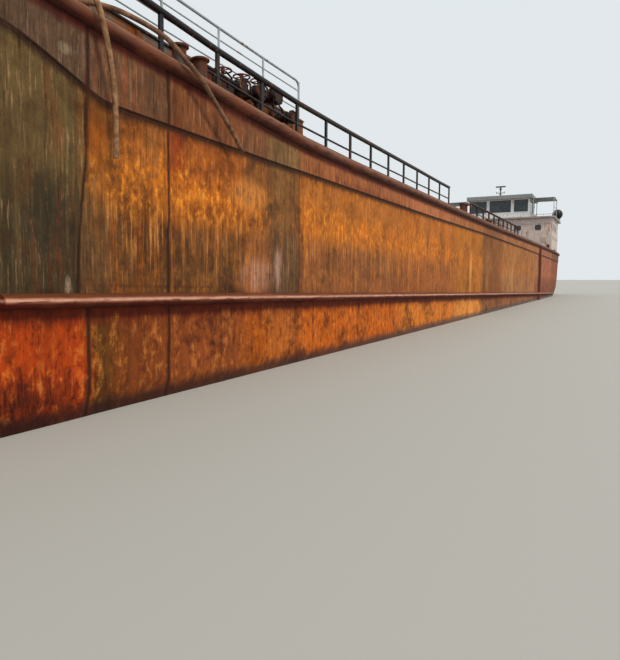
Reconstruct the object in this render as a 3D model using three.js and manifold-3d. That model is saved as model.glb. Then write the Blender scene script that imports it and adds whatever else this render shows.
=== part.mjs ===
// An inland oil tanker as a half-size model: 39 m long here, 78 m in life. Millimetres of the model.
// +X is the bow, +Y is port, +Z is up. The flat bottom is on z = 0, and the origin is amidships.
import * as THREE from "three";
import { mergeVertices } from "three/addons/utils/BufferGeometryUtils.js";
import Module from "manifold-3d";

const wasm = await Module();
wasm.setup();

// Driving sizes
const LENGTH = 39000;
const BEAM = 5400; // over the plating, without the rubbing bars
const PLATE_GAP = 0.3; // between pieces that touch
const SHEER_BAR = { proud: 60, height: 115 };
const MID_STRAKE = { proud: 80, height: 90, z: 970, aft: -15000, fore: 14700 };
const DECK_PLATE = 15;
const SIDE = BEAM / 2;
const END = LENGTH / 2 - SHEER_BAR.proud;

// The raised trunk on the fore deck. Its head curves up towards the bow
const TRUNK = { aft: 9600, fore: 15900, half: 1800, head: 3274, rise: 181 };
const trunkHead = (x) => {
  const part = (x - TRUNK.aft) / (TRUNK.fore - TRUNK.aft);
  return TRUNK.head + TRUNK.rise * Math.max(0, part) ** 2;
};

// Hull stations: x, half breadth of the deck and of the flat bottom, the bottom's height, the bilge's radius,
// and the height of the deck edge
const STATIONS = [
  [-END, 1500, 1250, 1100, 120, 3050],
  [-19250, 2060, 1650, 1080, 200, 3050],
  [-18750, 2470, 1950, 1050, 280, 3050],
  [-18000, 2670, 2150, 1010, 340, 3050],
  [-17150, SIDE, 2280, 940, 380, 3050],
  [-15150, SIDE, 2300, 520, 400, 3042],
  [-13750, SIDE, 2300, 200, 400, 3020],
  [-12250, SIDE, 2300, 0, 400, 2995],
  [-9150, SIDE, 2300, 0, 400, 2940],
  [1750, SIDE, 2300, 0, 400, 2718],
  [7000, SIDE, 2300, 0, 400, 2634],
  [8500, SIDE, 2300, 0, 400, 2612],
  [10000, SIDE, 2300, 0, 400, 2590],
  [11200, SIDE, 2300, 0, 400, 2586],
  [12300, SIDE, 2300, 0, 400, 2630],
  [14000, SIDE, 2300, 0, 400, 2715],
  [14750, SIDE, 2300, 0, 400, 2775],
  [15400, 2690, 2245, 10, 394, 2812],
  [16000, 2650, 2150, 40, 380, 2845],
  [16600, 2565, 2000, 120, 358, 2872],
  [17100, 2450, 1800, 230, 330, 2895],
  [17600, 2285, 1580, 400, 296, 2914],
  [18000, 2080, 1320, 620, 260, 2930],
  [18400, 1830, 1075, 870, 232, 2944],
  [18750, 1500, 800, 1150, 200, 2955],
  [19200, 900, 380, 1750, 120, 2970],
  [END, 400, 150, 2150, 80, 2975],
].map(([x, deck, bottom, low, bilge, edge]) => {
  return { x, deck, bottom, low, bilge, edge, trunk: trunkHead(x) };
});

// The value of one station column at any x
function along(x, column) {
  const i = Math.max(1, STATIONS.findIndex((s) => s.x >= x));
  const [a, b] = [STATIONS[i - 1], STATIONS[i]];
  return a[column] + ((b[column] - a[column]) * (x - a.x)) / (b.x - a.x);
}
const deckTop = (x) => along(x, "edge") + DECK_PLATE;
const onDeck = (x) => deckTop(x) + PLATE_GAP;

// Turns a closed geometry into a solid that can be joined and cut
function toSolid(geometry) {
  const plain = geometry.index ? geometry.toNonIndexed() : geometry.clone();
  plain.deleteAttribute("normal");
  plain.deleteAttribute("uv");
  const merged = mergeVertices(plain, 1e-3);
  return new wasm.Manifold(
    new wasm.Mesh({
      numProp: 3,
      vertProperties: merged.attributes.position.array,
      triVerts: new Uint32Array(merged.index.array),
    }),
  );
}

function toGeometry(solid) {
  const made = solid.getMesh();
  const geometry = new THREE.BufferGeometry();
  geometry.setAttribute("position", new THREE.BufferAttribute(new Float32Array(made.vertProperties), 3));
  geometry.setIndex(new THREE.BufferAttribute(new Uint32Array(made.triVerts), 1));
  geometry.computeVertexNormals();
  return geometry;
}

// Both take solids in lists of any depth
const join = (...pieces) =>
  toGeometry(pieces.flat(Infinity).map(toSolid).reduce((sum, next) => sum.add(next)));
const cut = (base, ...tools) =>
  toGeometry(tools.flat(Infinity).map(toSolid).reduce((rest, tool) => rest.subtract(tool), toSolid(base)));
const mirrored = (geometry) => {
  const other = toGeometry(toSolid(geometry));
  other.scale(1, -1, 1);
  const index = other.index.array;
  for (let i = 0; i < index.length; i += 3) [index[i + 1], index[i + 2]] = [index[i + 2], index[i + 1]];
  other.computeVertexNormals();
  return other;
};

// A box from its low to its high corner
function block([x0, x1], [y0, y1], [z0, z1]) {
  const box = new THREE.BoxGeometry(x1 - x0, y1 - y0, z1 - z0);
  return box.translate((x0 + x1) / 2, (y0 + y1) / 2, (z0 + z1) / 2);
}

// A straight bar between two points, round or, with four sides, square
function bar(from, to, radius, sides = 8, farRadius = radius) {
  const [a, b] = [new THREE.Vector3(...from), new THREE.Vector3(...to)];
  const way = b.clone().sub(a);
  const rod = new THREE.CylinderGeometry(farRadius, radius, way.length(), sides);
  if (sides === 4) rod.rotateY(Math.PI / 4);
  rod.applyQuaternion(new THREE.Quaternion().setFromUnitVectors(new THREE.Vector3(0, 1, 0), way.normalize()));
  return rod.translate(...a.add(b).multiplyScalar(0.5).toArray());
}

// The hole for a round bar that turns in it: the flats of the hole clear the bar all round
const BORE = { gap: 0.6, sides: 16 };
const bore = (from, to, radius) =>
  bar(from, to, (radius + BORE.gap) / Math.cos(Math.PI / BORE.sides), BORE.sides);

// A closed solid through convex rings of equal count. The second half of a ring is split the other way, so
// rings that are the same to port and starboard give a solid that is
function loft(rings) {
  const count = rings[0].length;
  const points = rings.flat();
  let faces = [];
  rings.slice(1).forEach((_, r) => {
    for (let i = 0; i < count; i++) {
      const [a, b] = [r * count + i, r * count + ((i + 1) % count)];
      const [c, d] = [a + count, b + count];
      if (i < count / 2) faces.push([a, b, d], [a, d, c]);
      else faces.push([a, b, c], [b, d, c]);
    }
  });
  const last = points.length - count;
  for (let i = 1; i + 1 < count; i++) faces.push([0, i + 1, i], [last, last + i, last + i + 1]);
  const corner = (i) => new THREE.Vector3(...points[i]);
  const volume = faces.reduce((sum, [a, b, c]) => sum + corner(a).dot(corner(b).cross(corner(c))), 0);
  if (volume < 0) faces = faces.map(([a, b, c]) => [a, c, b]);
  const geometry = new THREE.BufferGeometry();
  geometry.setAttribute("position", new THREE.BufferAttribute(new Float32Array(points.flat()), 3));
  geometry.setIndex(faces.flat());
  geometry.computeVertexNormals();
  return geometry;
}

// A round or square bar along points, mitred where it bends in plan
function bentBar(path, radius, sides) {
  const points = path.map((p) => new THREE.Vector3(...p));
  const up = new THREE.Vector3(0, 0, 1);
  const rings = points.map((point, i) => {
    const stretch = (k) => points[k + 1].clone().sub(points[k]).normalize();
    const after = stretch(Math.min(i, points.length - 2));
    const before = stretch(Math.max(i - 1, 0));
    const way = before.clone().add(after).normalize();
    const across = new THREE.Vector3().crossVectors(up, way).normalize();
    const wide = radius / way.dot(after);
    return Array.from({ length: sides }, (_, k) => {
      const turn = ((k + (sides === 4 ? 0.5 : 0)) / sides) * 2 * Math.PI;
      const spot = point.clone().addScaledVector(across, wide * Math.cos(turn));
      return spot.addScaledVector(up, radius * Math.sin(turn)).toArray();
    });
  });
  return loft(rings);
}

// A solid that follows the deck between two x: its sides at y0 and y1, its foot and head at heights that are
// functions of x
function alongDeck([x0, x1], [y0, y1], foot, head) {
  const inner = STATIONS.map((s) => s.x).filter((x) => x > x0 + 1 && x < x1 - 1);
  return loft(
    [x0, ...inner, x1].map((x) => [
      [x, y0, foot(x)],
      [x, y1, foot(x)],
      [x, y1, head(x)],
      [x, y0, head(x)],
    ]),
  );
}

const ship = new THREE.Group();
const STEEL = { roughness: 0.75, metalness: 0.3 };
const PAINT = { roughness: 0.6, metalness: 0.1 };

function add(name, geometry, color, finish = STEEL) {
  const mesh = new THREE.Mesh(geometry, new THREE.MeshStandardMaterial({ color, ...finish }));
  mesh.name = name;
  ship.add(mesh);
  return mesh;
}

// The same piece on both sides, made once for port
function addPair(name, geometry, color, finish) {
  add(name + "_port", geometry, color, finish);
  add(name + "_starboard", mirrored(geometry), color, finish);
}

// Running gear, used by the hull's bores too
const SHAFT = { y: 1300, z: 475, radius: 45, fore: -14600, prop: -17450 };
const RUDDER = { x: -17980, y: 1300, low: 60, high: 905, fore: 150, aft: 470, thick: 70 };
const STOCK = { radius: 45, head: 1280, sunk: 200 };
const TUBE_GAP = 3; // round the shaft in its tube
const PAST = 20; // how far a cut goes on past what it cuts

// One station's outline, from the port deck edge down and round to starboard
const BILGE_STEPS = 3;
function section({ x, deck, bottom, low, bilge, edge }) {
  const half = [[deck, edge]];
  for (let i = 0; i <= BILGE_STEPS; i++) {
    const turn = (i / BILGE_STEPS) * (Math.PI / 2);
    half.push([bottom + bilge * Math.cos(turn), low + bilge * (1 - Math.sin(turn))]);
  }
  const port = half.map(([y, z]) => [x, y, z]);
  const starboard = half.map(([y, z]) => [x, -y, z]).reverse();
  return [...port, ...starboard];
}

function hull() {
  const { fore, prop, z, radius } = SHAFT;
  const { x, low } = RUDDER;
  const bores = [SHAFT.y, -SHAFT.y].flatMap((y) => [
    bore([fore, y, z], [prop, y, z], radius + TUBE_GAP),
    bore([x, y, low], [x, y, STOCK.head + PAST], STOCK.radius),
  ]);
  return cut(loft(STATIONS.map(section)), bores);
}
const HULL = hull();

// The half-round bar round the deck edge, from the stem to the middle of the transom
const ROUND_STEPS = 4;
function halfRound(proud, height) {
  const points = [];
  for (let i = 0; i <= ROUND_STEPS; i++) {
    const turn = (i / ROUND_STEPS - 0.5) * Math.PI;
    points.push([PLATE_GAP + proud * Math.cos(turn), (height / 2) * Math.sin(turn)]);
  }
  points[0][0] = points[ROUND_STEPS][0] = PLATE_GAP;
  return points;
}

const FENDER_BAR = { x: -9150, width: 90, proud: 70, foot: 430 };

function sheerBar() {
  const outline = [
    [-END, PLATE_GAP / 2],
    ...STATIONS.map((s) => [s.x, s.deck]),
    [END, PLATE_GAP / 2],
  ].map(([x, y]) => new THREE.Vector2(x, y));
  const profile = halfRound(SHEER_BAR.proud - PLATE_GAP, SHEER_BAR.height);
  const out = (a, b) => new THREE.Vector2(a.y - b.y, b.x - a.x).normalize();
  const rings = outline.map((point, i) => {
    const before = i ? out(outline[i - 1], point) : new THREE.Vector2(-1, 0);
    const after = i + 1 < outline.length ? out(point, outline[i + 1]) : new THREE.Vector2(1, 0);
    const mitre = before.clone().add(after).normalize();
    const reach = 1 / mitre.dot(after);
    const z = along(point.x, "edge") - SHEER_BAR.height / 2;
    return profile.map(([u, v]) => [point.x + mitre.x * u * reach, point.y + mitre.y * u * reach, z + v]);
  });
  return loft(rings);
}

function fenderBar(low, high) {
  const { x, width, proud } = FENDER_BAR;
  return block([x - width / 2, x + width / 2], [SIDE + PLATE_GAP, SIDE + proud], [low, high]);
}

function midStrake() {
  const { proud, height, z, aft, fore } = MID_STRAKE;
  const ring = (x) => halfRound(proud, height).map(([u, v]) => [x, SIDE + u, z + v]);
  return loft([ring(aft), ring(fore)]);
}

const STRAKE_HEAD = MID_STRAKE.z + MID_STRAKE.height / 2;

// Deck fittings that are welded to the deck plating
const HATCHES = { xs: [5600, -1400, -8400, -11600], y: 1500, radius: 240, height: 180, wall: 14, floor: 20 };
const BOLLARDS = { xs: [12900, 3600, -13600], y: SIDE - 150, radius: 55, height: 190, apart: 260 };
const BOLLARD_CAP = { over: 20, under: 5, height: 25, sides: 8 };
const BOLLARD_FOOT = { past: 40, half: 80, thick: 12 };
const HOSE_STUBS = [
  { x: 14150, tip: 2320, z: 2915 },
  { x: 13900, tip: 2320, z: 2880 },
];
const STUB = { radius: 32, flange: 52, thick: 16, post: 40, long: 260, elbow: 240 };
const VENTS = { xs: [7900, -3900, -10000], y: 820, radius: 38, height: 400, cap: 85, rim: 46 };

const sunk = (x) => deckTop(x) - DECK_PLATE / 2;

// A pair of bollards on one foot plate
function bollards(x, y) {
  const { radius, height, apart } = BOLLARDS;
  const { over, under, height: cap, sides } = BOLLARD_CAP;
  const heads = [-0.5, 0.5].flatMap((place) => {
    const at = x + place * apart;
    const neck = deckTop(at) + height - 1;
    return [
      bar([at, y, sunk(at)], [at, y, neck], radius, sides),
      bar([at, y, neck], [at, y, neck + cap], radius + over, sides, radius - under),
    ];
  });
  const long = apart / 2 + radius + BOLLARD_FOOT.past;
  const across = [y - BOLLARD_FOOT.half, y + BOLLARD_FOOT.half];
  return [...heads, alongDeck([x - long, x + long], across, sunk, (at) => deckTop(at) + BOLLARD_FOOT.thick)];
}

// A tank vent: an upright pipe with a broad round head
function vent(x, y) {
  const { radius, height, cap, rim } = VENTS;
  const top = deckTop(x) + height;
  return [
    bar([x, y, sunk(x)], [x, y, top - rim + 1], radius, 8),
    bar([x, y, top - rim], [x, y, top], cap, 8, cap / 2),
  ];
}

function mainDeck() {
  const plating = loft(
    STATIONS.map(({ x, deck, edge }) => [
      [x, deck, edge + PLATE_GAP],
      [x, -deck, edge + PLATE_GAP],
      [x, -deck, edge + DECK_PLATE],
      [x, deck, edge + DECK_PLATE],
    ]),
  );
  const { y, radius, height, wall, floor } = HATCHES;
  const coamings = HATCHES.xs.flatMap((x) => [
    bar([x, y, sunk(x)], [x, y, deckTop(x) + height], radius, 20),
    ...hingeEars(x, y),
  ]);
  const wells = HATCHES.xs.map((x) =>
    bar([x, y, deckTop(x) + floor], [x, y, deckTop(x) + height + PAST], radius - wall, 20),
  );
  const posts = BOLLARDS.xs.flatMap((x) => [BOLLARDS.y, -BOLLARDS.y].flatMap((side) => bollards(x, side)));
  const vents = VENTS.xs.flatMap((x) => [VENTS.y, -VENTS.y].flatMap((side) => vent(x, side)));
  const stubs = HOSE_STUBS.flatMap(({ x, tip, z }) => [
    bar([x, tip - STUB.elbow, sunk(x)], [x, tip - STUB.elbow, z + PAST], STUB.post, 10),
    bar([x, tip - STUB.long, z], [x, tip, z], STUB.radius, 10),
    bar([x, tip - STUB.thick, z], [x, tip, z], STUB.flange, 14),
  ]);
  return cut(join(plating, coamings, posts, vents, stubs), wells);
}

// A round hatch lid lies on its coaming and turns up about a pin on its inboard side
const LID = { thick: 16, over: 14, pin: 8, pinHalf: 45, pinOut: 34, pinPast: 6 };
const EAR = { thick: 15, half: 14, foot: 90, sunk: 6 };
const LID_ARM = { half: 24, lap: 60, aft: 16, thick: 15, clear: 18, notch: 70 };
const LID_HANDLE = { half: 60, out: 120, height: 50, radius: 8, sunk: 11 };
const lidAxis = (x) => ({
  y: HATCHES.y - HATCHES.radius - LID.pinOut,
  z: deckTop(x) + HATCHES.height + LID.thick / 2,
});

function hingeEars(x, y) {
  const axis = lidAxis(x);
  const across = [axis.y - EAR.half, y - HATCHES.radius + EAR.sunk];
  const ear = (from, to) => block([x + from, x + to], across, [deckTop(x) + EAR.foot, axis.z + EAR.half]);
  const pin = LID.pinHalf + LID.pinPast;
  return [
    ear(-LID.pinHalf, -LID.pinHalf + EAR.thick),
    ear(LID.pinHalf - EAR.thick, LID.pinHalf),
    bar([x - pin, axis.y, axis.z], [x + pin, axis.y, axis.z], LID.pin, 12),
  ];
}

function hatchLid(x) {
  const axis = lidAxis(x);
  const top = deckTop(x) + HATCHES.height + PLATE_GAP;
  const edge = HATCHES.y - HATCHES.radius;
  const { half, lap, aft, thick, clear, notch } = LID_ARM;
  const round = bar([x, HATCHES.y, top], [x, HATCHES.y, top + LID.thick], HATCHES.radius + LID.over, 20);
  const plate = cut(round, block([x - notch, x + notch], [axis.y - lap, edge + PAST], [top - 5, top + lap]));
  const arm = block([x - half, x + half], [axis.y - aft, edge + lap], [axis.z - thick, axis.z + thick]);
  const under = block([x - half - 5, x + half + 5], [axis.y + clear, HATCHES.y], [axis.z - 2 * thick, top]);
  const { half: reach, out, height, radius, sunk: root } = LID_HANDLE;
  const y = HATCHES.y + out;
  const handle = [
    bar([x - reach, y, top + LID.thick - root], [x - reach, y, top + height], radius, 6),
    bar([x + reach, y, top + LID.thick - root], [x + reach, y, top + height], radius, 6),
    bar([x - reach - radius, y, top + height], [x + reach + radius, y, top + height], radius, 6),
  ];
  const hole = bore([x - half - PAST, axis.y, axis.z], [x + half + PAST, axis.y, axis.z], LID.pin);
  return cut(join(plate, cut(arm, under), handle), hole);
}

// A guard rail: posts at points in plan, a thick rail along their heads and thinner ones below
function guardRail(points, { foot, height, post, rail, rails = [] }) {
  const [halfX, halfY] = post.map((size) => size / 2);
  const pieces = points.map(([x, y]) => {
    const stand = Math.max(foot(x - halfX), foot(x + halfX));
    return block([x - halfX, x + halfX], [y - halfY, y + halfY], [stand, foot(x) + height]);
  });
  const bends = points.filter((p, i) => {
    if (!i || i === points.length - 1) return true;
    const spot = ([x, y]) => new THREE.Vector3(x, y, foot(x));
    const before = spot(p).sub(spot(points[i - 1])).normalize();
    const after = spot(points[i + 1]).sub(spot(p)).normalize();
    return before.dot(after) < 0.9999999;
  });
  for (const [level, radius, sides] of [[height, rail, 6], ...rails.map((row) => [...row, 4])])
    pieces.push(bentBar(bends.map(([x, y]) => [x, y, foot(x) + level]), radius, sides));
  return join(pieces);
}

// Points at an even pitch between two x, inboard of the deck edge
function railLine(aft, fore, inset, pitch) {
  const count = Math.round((fore - aft) / pitch);
  return Array.from({ length: count + 1 }, (_, i) => {
    const x = aft + ((fore - aft) * i) / count;
    return [x, along(x, "deck") - inset];
  });
}

const RAIL = { inset: 300, pitch: 750, height: 480, post: [42, 22], rail: 28, mid: 10 };
const FORE_RAIL = { aft: 4290, fore: 16720, bow: [17500, 18200, 18800, 19150], stem: 380 };
const AFT_RAIL = { aft: -5250, fore: 2250, height: 390, post: [60, 34] };
const STERN_RAIL = { inset: 140, sides: [-18350, -18750, -19150], x: -19330, ys: [1150, 0, -1150] };
const halfway = (height, radius) => [[height * 0.52, radius]];

// On to the bow from the straight side, and in at the stem
function foreRail() {
  const { aft, fore, bow, stem } = FORE_RAIL;
  const side = railLine(aft, fore, RAIL.inset, RAIL.pitch);
  const round = bow.map((x) => [x, along(x, "deck") - RAIL.inset]);
  return guardRail([...side, ...round, [bow.at(-1) + 60, stem]], {
    foot: onDeck,
    height: RAIL.height,
    post: RAIL.post,
    rail: RAIL.rail,
    rails: halfway(RAIL.height, RAIL.mid),
  });
}

const aftRail = ({ aft, fore, height, post }) =>
  guardRail(railLine(aft, fore, RAIL.inset, RAIL.pitch), {
    foot: onDeck,
    height,
    post,
    rail: RAIL.rail,
    rails: halfway(height, RAIL.mid),
  });

function sternRail() {
  const { inset, sides, x, ys } = STERN_RAIL;
  const port = sides.map((at) => [at, along(at, "deck") - inset]);
  const starboard = port.map(([at, y]) => [at, -y]).reverse();
  return guardRail([...port, ...ys.map((y) => [x, y]), ...starboard], {
    foot: onDeck,
    height: RAIL.height,
    post: [24, 24],
    rail: 16,
    rails: halfway(RAIL.height, RAIL.mid),
  });
}

const trunkTop = (x) => along(x, "trunk");
const TRUNK_RAIL = { inset: 45, pitch: 900, height: 490, post: [24, 24], rail: 14, mid: 9 };

const foreTrunk = () => alongDeck([TRUNK.aft, TRUNK.fore], [-TRUNK.half, TRUNK.half], onDeck, trunkTop);

function trunkRail() {
  const { inset, pitch } = TRUNK_RAIL;
  const [aft, fore, side] = [TRUNK.aft + inset, TRUNK.fore - inset, TRUNK.half - inset];
  const steps = Math.round((fore - aft) / pitch);
  const across = Math.round((2 * side) / pitch);
  const port = Array.from({ length: steps + 1 }, (_, i) => [aft + ((fore - aft) * i) / steps, side]);
  const front = Array.from({ length: across - 1 }, (_, i) => [fore, side - (2 * side * (i + 1)) / across]);
  const starboard = port.map(([x, y]) => [x, -y]).reverse();
  return guardRail([...port, ...front, ...starboard], {
    foot: (x) => trunkTop(x) + PLATE_GAP,
    height: TRUNK_RAIL.height,
    post: TRUNK_RAIL.post,
    rail: TRUNK_RAIL.rail,
    rails: [[TRUNK_RAIL.height / 2, TRUNK_RAIL.mid]],
  });
}

// Cargo lines along the middle of the deck, on cross bearers, and the loading manifold at each side
const LINES = { ys: [-260, 0, 260], radius: 75, height: 210, aft: -14200, fore: 9300 };
const BEARERS = { pitch: 3850, half: 420, wide: 70 };
const MANIFOLD = { x: 11340, y: 1950, outlet: 260, drop: 150, collar: 35, wheel: 95, header: 330 };
// Risers of a manifold: place along the ship from its middle, height of the head above the deck, radius
const RISERS = [
  [-740, 560, 45],
  [-400, 700, 55],
  [-60, 640, 50],
  [280, 600, 45],
].map(([place, head, radius]) => ({ place, head, radius }));
const TRAY = { aft: -870, fore: 500, half: 60, height: 120 };
const LOCKER = { aft: 450, fore: 880, inner: -90, outer: 250, height: 430 };

function cargoLines() {
  const { ys, radius, height, aft, fore } = LINES;
  const level = (x) => deckTop(x) + height;
  const runs = [aft, ...STATIONS.map((s) => s.x).filter((x) => x > aft && x < fore), fore];
  const pieces = ys.map((y) => bentBar(runs.map((x) => [x, y, level(x)]), radius, 8));
  for (let x = aft + 200; x < fore; x += BEARERS.pitch)
    pieces.push(
      alongDeck([x - BEARERS.wide / 2, x + BEARERS.wide / 2], [-BEARERS.half, BEARERS.half], onDeck, level),
    );
  return join(pieces);
}

function manifold() {
  const { x, y, outlet, drop, collar, wheel, header } = MANIFOLD;
  const above = (rise) => (at) => deckTop(at) + rise;
  const floor = deckTop(x);
  const risers = RISERS.flatMap(({ place, head, radius }) => {
    const at = x + place;
    const top = floor + head;
    const level = top - drop;
    return [
      bar([at, y, floor + TRAY.height / 2], [at, y, top], radius, 8),
      bar([at, y - 40, level], [at, y + outlet, level], radius, 8),
      bar([at, y + outlet - collar, level], [at, y + outlet, level], radius * 1.7, 8),
      bar([at, y, top - 10], [at, y, top + 45], 12, 4),
      bar([at, y, top + 35], [at, y, top + 50], wheel, 10),
    ];
  });
  const across = [y - TRAY.half, y + TRAY.half];
  return join([
    alongDeck([x + TRAY.aft, x + TRAY.fore], across, onDeck, above(TRAY.height)),
    alongDeck(
      [x + LOCKER.aft, x + LOCKER.fore],
      [y + LOCKER.inner, y + LOCKER.outer],
      onDeck,
      above(LOCKER.height),
    ),
    bar([x + TRAY.aft, y, floor + header], [x + LOCKER.aft + PAST, y, floor + header], 50, 8),
    risers,
  ]);
}

// Anchor windlass on the fore deck: two bearing cheeks on a bed, and a drum between them
const WINDLASS = { x: 16900, height: 300, axle: 34, cheek: 330, reach: 520 };
const BED = { long: 300, half: 400, thick: 50, lift: 2 };
const CHEEK = { long: 110, half: 30, over: 80 };
const GEARBOX = { aft: -290, fore: -130, starboard: -300, port: 60, over: 20 };
const DRUM = { barrel: 75, barrelHalf: 260, flange: 125, flangeAt: 250, flangeHalf: 15 };
const GYPSY = { radius: 115, half: 60 };
const WARPING_END = { from: 390, waist: 452, to: 515, wide: 105, narrow: 60 };

function windlassFrame() {
  const { x, height, axle, cheek } = WINDLASS;
  const floor = onDeck(x + BED.long) + BED.lift;
  const level = deckTop(x) + height;
  const sides = [cheek, -cheek];
  const cheeks = sides.map((y) =>
    block([x - CHEEK.long, x + CHEEK.long], [y - CHEEK.half, y + CHEEK.half], [floor, level + CHEEK.over]),
  );
  const bed = alongDeck([x - BED.long, x + BED.long], [-BED.half, BED.half], onDeck, () => floor + BED.thick);
  const gearbox = block(
    [x + GEARBOX.aft, x + GEARBOX.fore],
    [GEARBOX.starboard, GEARBOX.port],
    [floor, level + GEARBOX.over],
  );
  const past = CHEEK.half + PAST;
  const bores = sides.map((y) => bore([x, y - past, level], [x, y + past, level], axle));
  return cut(join(bed, cheeks, gearbox), bores);
}

function windlassDrum() {
  const { x, height, axle, reach } = WINDLASS;
  const level = deckTop(x) + height;
  const round = (from, to, radius, far = radius) => bar([x, from, level], [x, to, level], radius, 12, far);
  const { barrel, barrelHalf, flange, flangeAt, flangeHalf } = DRUM;
  const { from, waist, to, wide, narrow } = WARPING_END;
  return join([
    round(-reach, reach, axle),
    round(-barrelHalf, barrelHalf, barrel),
    round(-flangeAt - flangeHalf, -flangeAt + flangeHalf, flange),
    round(flangeAt - flangeHalf, flangeAt + flangeHalf, flange),
    round(-GYPSY.half, GYPSY.half, GYPSY.radius),
    ...[1, -1].flatMap((side) => [
      round(side * from, side * (waist + 3), wide, narrow),
      round(side * (waist - 3), side * to, narrow, wide),
    ]),
  ]);
}

// Stockless anchors drawn up to the bow, each on a round bolster. They are drawn flat, with u along the
// plating towards the bow, v out of it and w up, then turned to the plating and cut to lie on it
const ANCHOR = { x: 17650, z: 2330, bolster: 310, thick: 60, hawse: 105, out: 105 };
const SHANK = { radius: 38, down: 430, out: 82 };
const CROWN = { half: 190, out: 50, to: 125, low: -480, high: -390 };
const FLUKE = { root: 150, tip: 205, rise: 400, wide: 62, end: 14, out: 92 };

function anchor() {
  const { x, z, bolster, thick, hawse, out } = ANCHOR;
  const pieces = [
    bar([0, -bolster, 0], [0, thick, 0], bolster, 12),
    bar([0, 0, 0], [0, out, 0], hawse, 8),
    bar([0, SHANK.out, 0], [0, SHANK.out, -SHANK.down], SHANK.radius, 4),
    block([-CROWN.half, CROWN.half], [CROWN.out, CROWN.to], [CROWN.low, CROWN.high]),
    block([-CROWN.half, CROWN.half], [-bolster, CROWN.out + 1], [CROWN.low + PAST, CROWN.high - PAST]),
    ...[1, -1].map((side) =>
      bar(
        [side * FLUKE.root, FLUKE.out, CROWN.high - PAST],
        [side * FLUKE.tip, FLUKE.out - 10, CROWN.high + FLUKE.rise],
        FLUKE.wide,
        4,
        FLUKE.end,
      ),
    ),
  ];
  const [near, far] = [along(x - 100, "deck"), along(x + 100, "deck")];
  const foot = along(x, "bottom") + along(x, "bilge");
  const low = along(x, "low") + along(x, "bilge");
  const flare = (along(x, "deck") - foot) / (along(x, "edge") - low);
  const y = foot + flare * (z - low);
  const drawn = join(pieces).rotateX(Math.atan(flare) * -1).rotateZ(Math.atan((far - near) / 200));
  return cut(drawn.translate(x, y, z), HULL.clone().translate(0, PLATE_GAP * 1.2, 0));
}

// The foremast carries the anchor light
const FOREMAST = { x: 18050, foot: 110, plate: 20, lift: 1, height: 1750, radius: 48, head: 26 };
const YARD = { half: 330, level: 1350, radius: 18 };
const LAMP = { radius: 45, height: 110 };

// The height on which a square foot of a given half size stands, clear of the sloping deck
const standing = (x, half, slope) => onDeck(x + slope * (half + 10)) + 1;

function foremast() {
  const { x, foot, plate, height, radius, head } = FOREMAST;
  const floor = standing(x, foot, 1);
  return join([
    alongDeck([x - foot, x + foot], [-foot, foot], onDeck, () => floor + plate),
    bar([x, 0, floor], [x, 0, floor + height], radius, 10, head),
    bar([x, -YARD.half, floor + YARD.level], [x, YARD.half, floor + YARD.level], YARD.radius, 8),
    bar([x, 0, floor + height - 10], [x, 0, floor + height + LAMP.height], LAMP.radius, 10),
  ]);
}

// Hose davit amidships: a fixed pillar and a jib that turns on its pin
const DAVIT = { x: 2300, y: -1500, foot: 150, plate: 20, pillar: 420, radius: 70, pin: 36, pinHeight: 160 };
const JIB = { reach: 1350, head: 1180, rise: 90, radius: 42, strut: 26, strutFoot: 260, strutOut: 0.55 };
const TIP = { half: 20, wide: 30, low: 40, high: 80 };

function davitPillar() {
  const { x, y, foot, plate, pillar, radius, pin, pinHeight } = DAVIT;
  const floor = standing(x, foot, -1);
  return join([
    alongDeck([x - foot, x + foot], [y - foot, y + foot], onDeck, () => floor + plate),
    bar([x, y, floor], [x, y, floor + pillar], radius, 12),
    bar([x, y, floor + pillar - 5], [x, y, floor + pillar + pinHeight], pin, 12),
  ]);
}

function davitJib() {
  const { x, y, foot, pillar, radius, pin, pinHeight } = DAVIT;
  const { reach, head, rise, radius: thick, strut, strutFoot, strutOut } = JIB;
  const seat = standing(x, foot, -1) + pillar + PLATE_GAP;
  const top = onDeck(x) + head;
  const arm = join([
    bar([x, y, seat], [x, y, top], radius, 12),
    bar([x, y, top - TIP.low], [x - reach, y, top + rise], thick, 8),
    bar([x, y, seat + strutFoot], [x - reach * strutOut, y, top + 10], strut, 8),
    block(
      [x - reach - TIP.half, x - reach + TIP.half],
      [y - TIP.wide, y + TIP.wide],
      [top - TIP.low, top + TIP.high],
    ),
  ]);
  return cut(arm, bore([x, y, seat - PAST], [x, y, seat + pinHeight + PAST / 2], pin));
}

// Deckhouse aft: a hollow lower house, the boat deck on it and the wheelhouse above
const WALL = 30;
const HOUSE = { aft: -18100, fore: -15120, half: 2560, head: 4680 };
const BOAT_DECK = { aft: -18250, fore: -14980, half: 2690, low: HOUSE.head + PLATE_GAP, high: 4750 };
const BRIDGE = { aft: -17100, fore: -15150, half: 1475, foot: BOAT_DECK.high + PLATE_GAP, head: 5690 };
const ROOF = { aft: -17300, fore: -15000, half: 1610, low: BRIDGE.head + PLATE_GAP, high: 5875 };
const DOOR = { width: 380, thick: 18, gap: 8, sunk: 2 };
const HOUSE_DOOR = { x: 1500, low: 3085, high: 4000 };
const BRIDGE_DOOR = { x: -16950, low: 4775, high: 5640 };
// A door's hinge: a pin in a bracket on the wall, and an eye on the leaf that stands on the bracket
const HINGE = { pin: 7, eye: 13, out: 15, low: 20, high: 20, strap: 60 };
const BRACKET = { aft: -34, fore: 10, low: -42, high: -22 };
const DOOR_HANDLE = { x: 320, rise: 430, out: 34, grip: 70, radius: 8 };
const THROUGH = 60; // how far a window or door cut reaches to each side of a wall's face
// The house doors are drawn in a wall that faces port and turned to face aft
const turnAft = (geometry) => geometry.rotateZ(Math.PI / 2);

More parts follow.
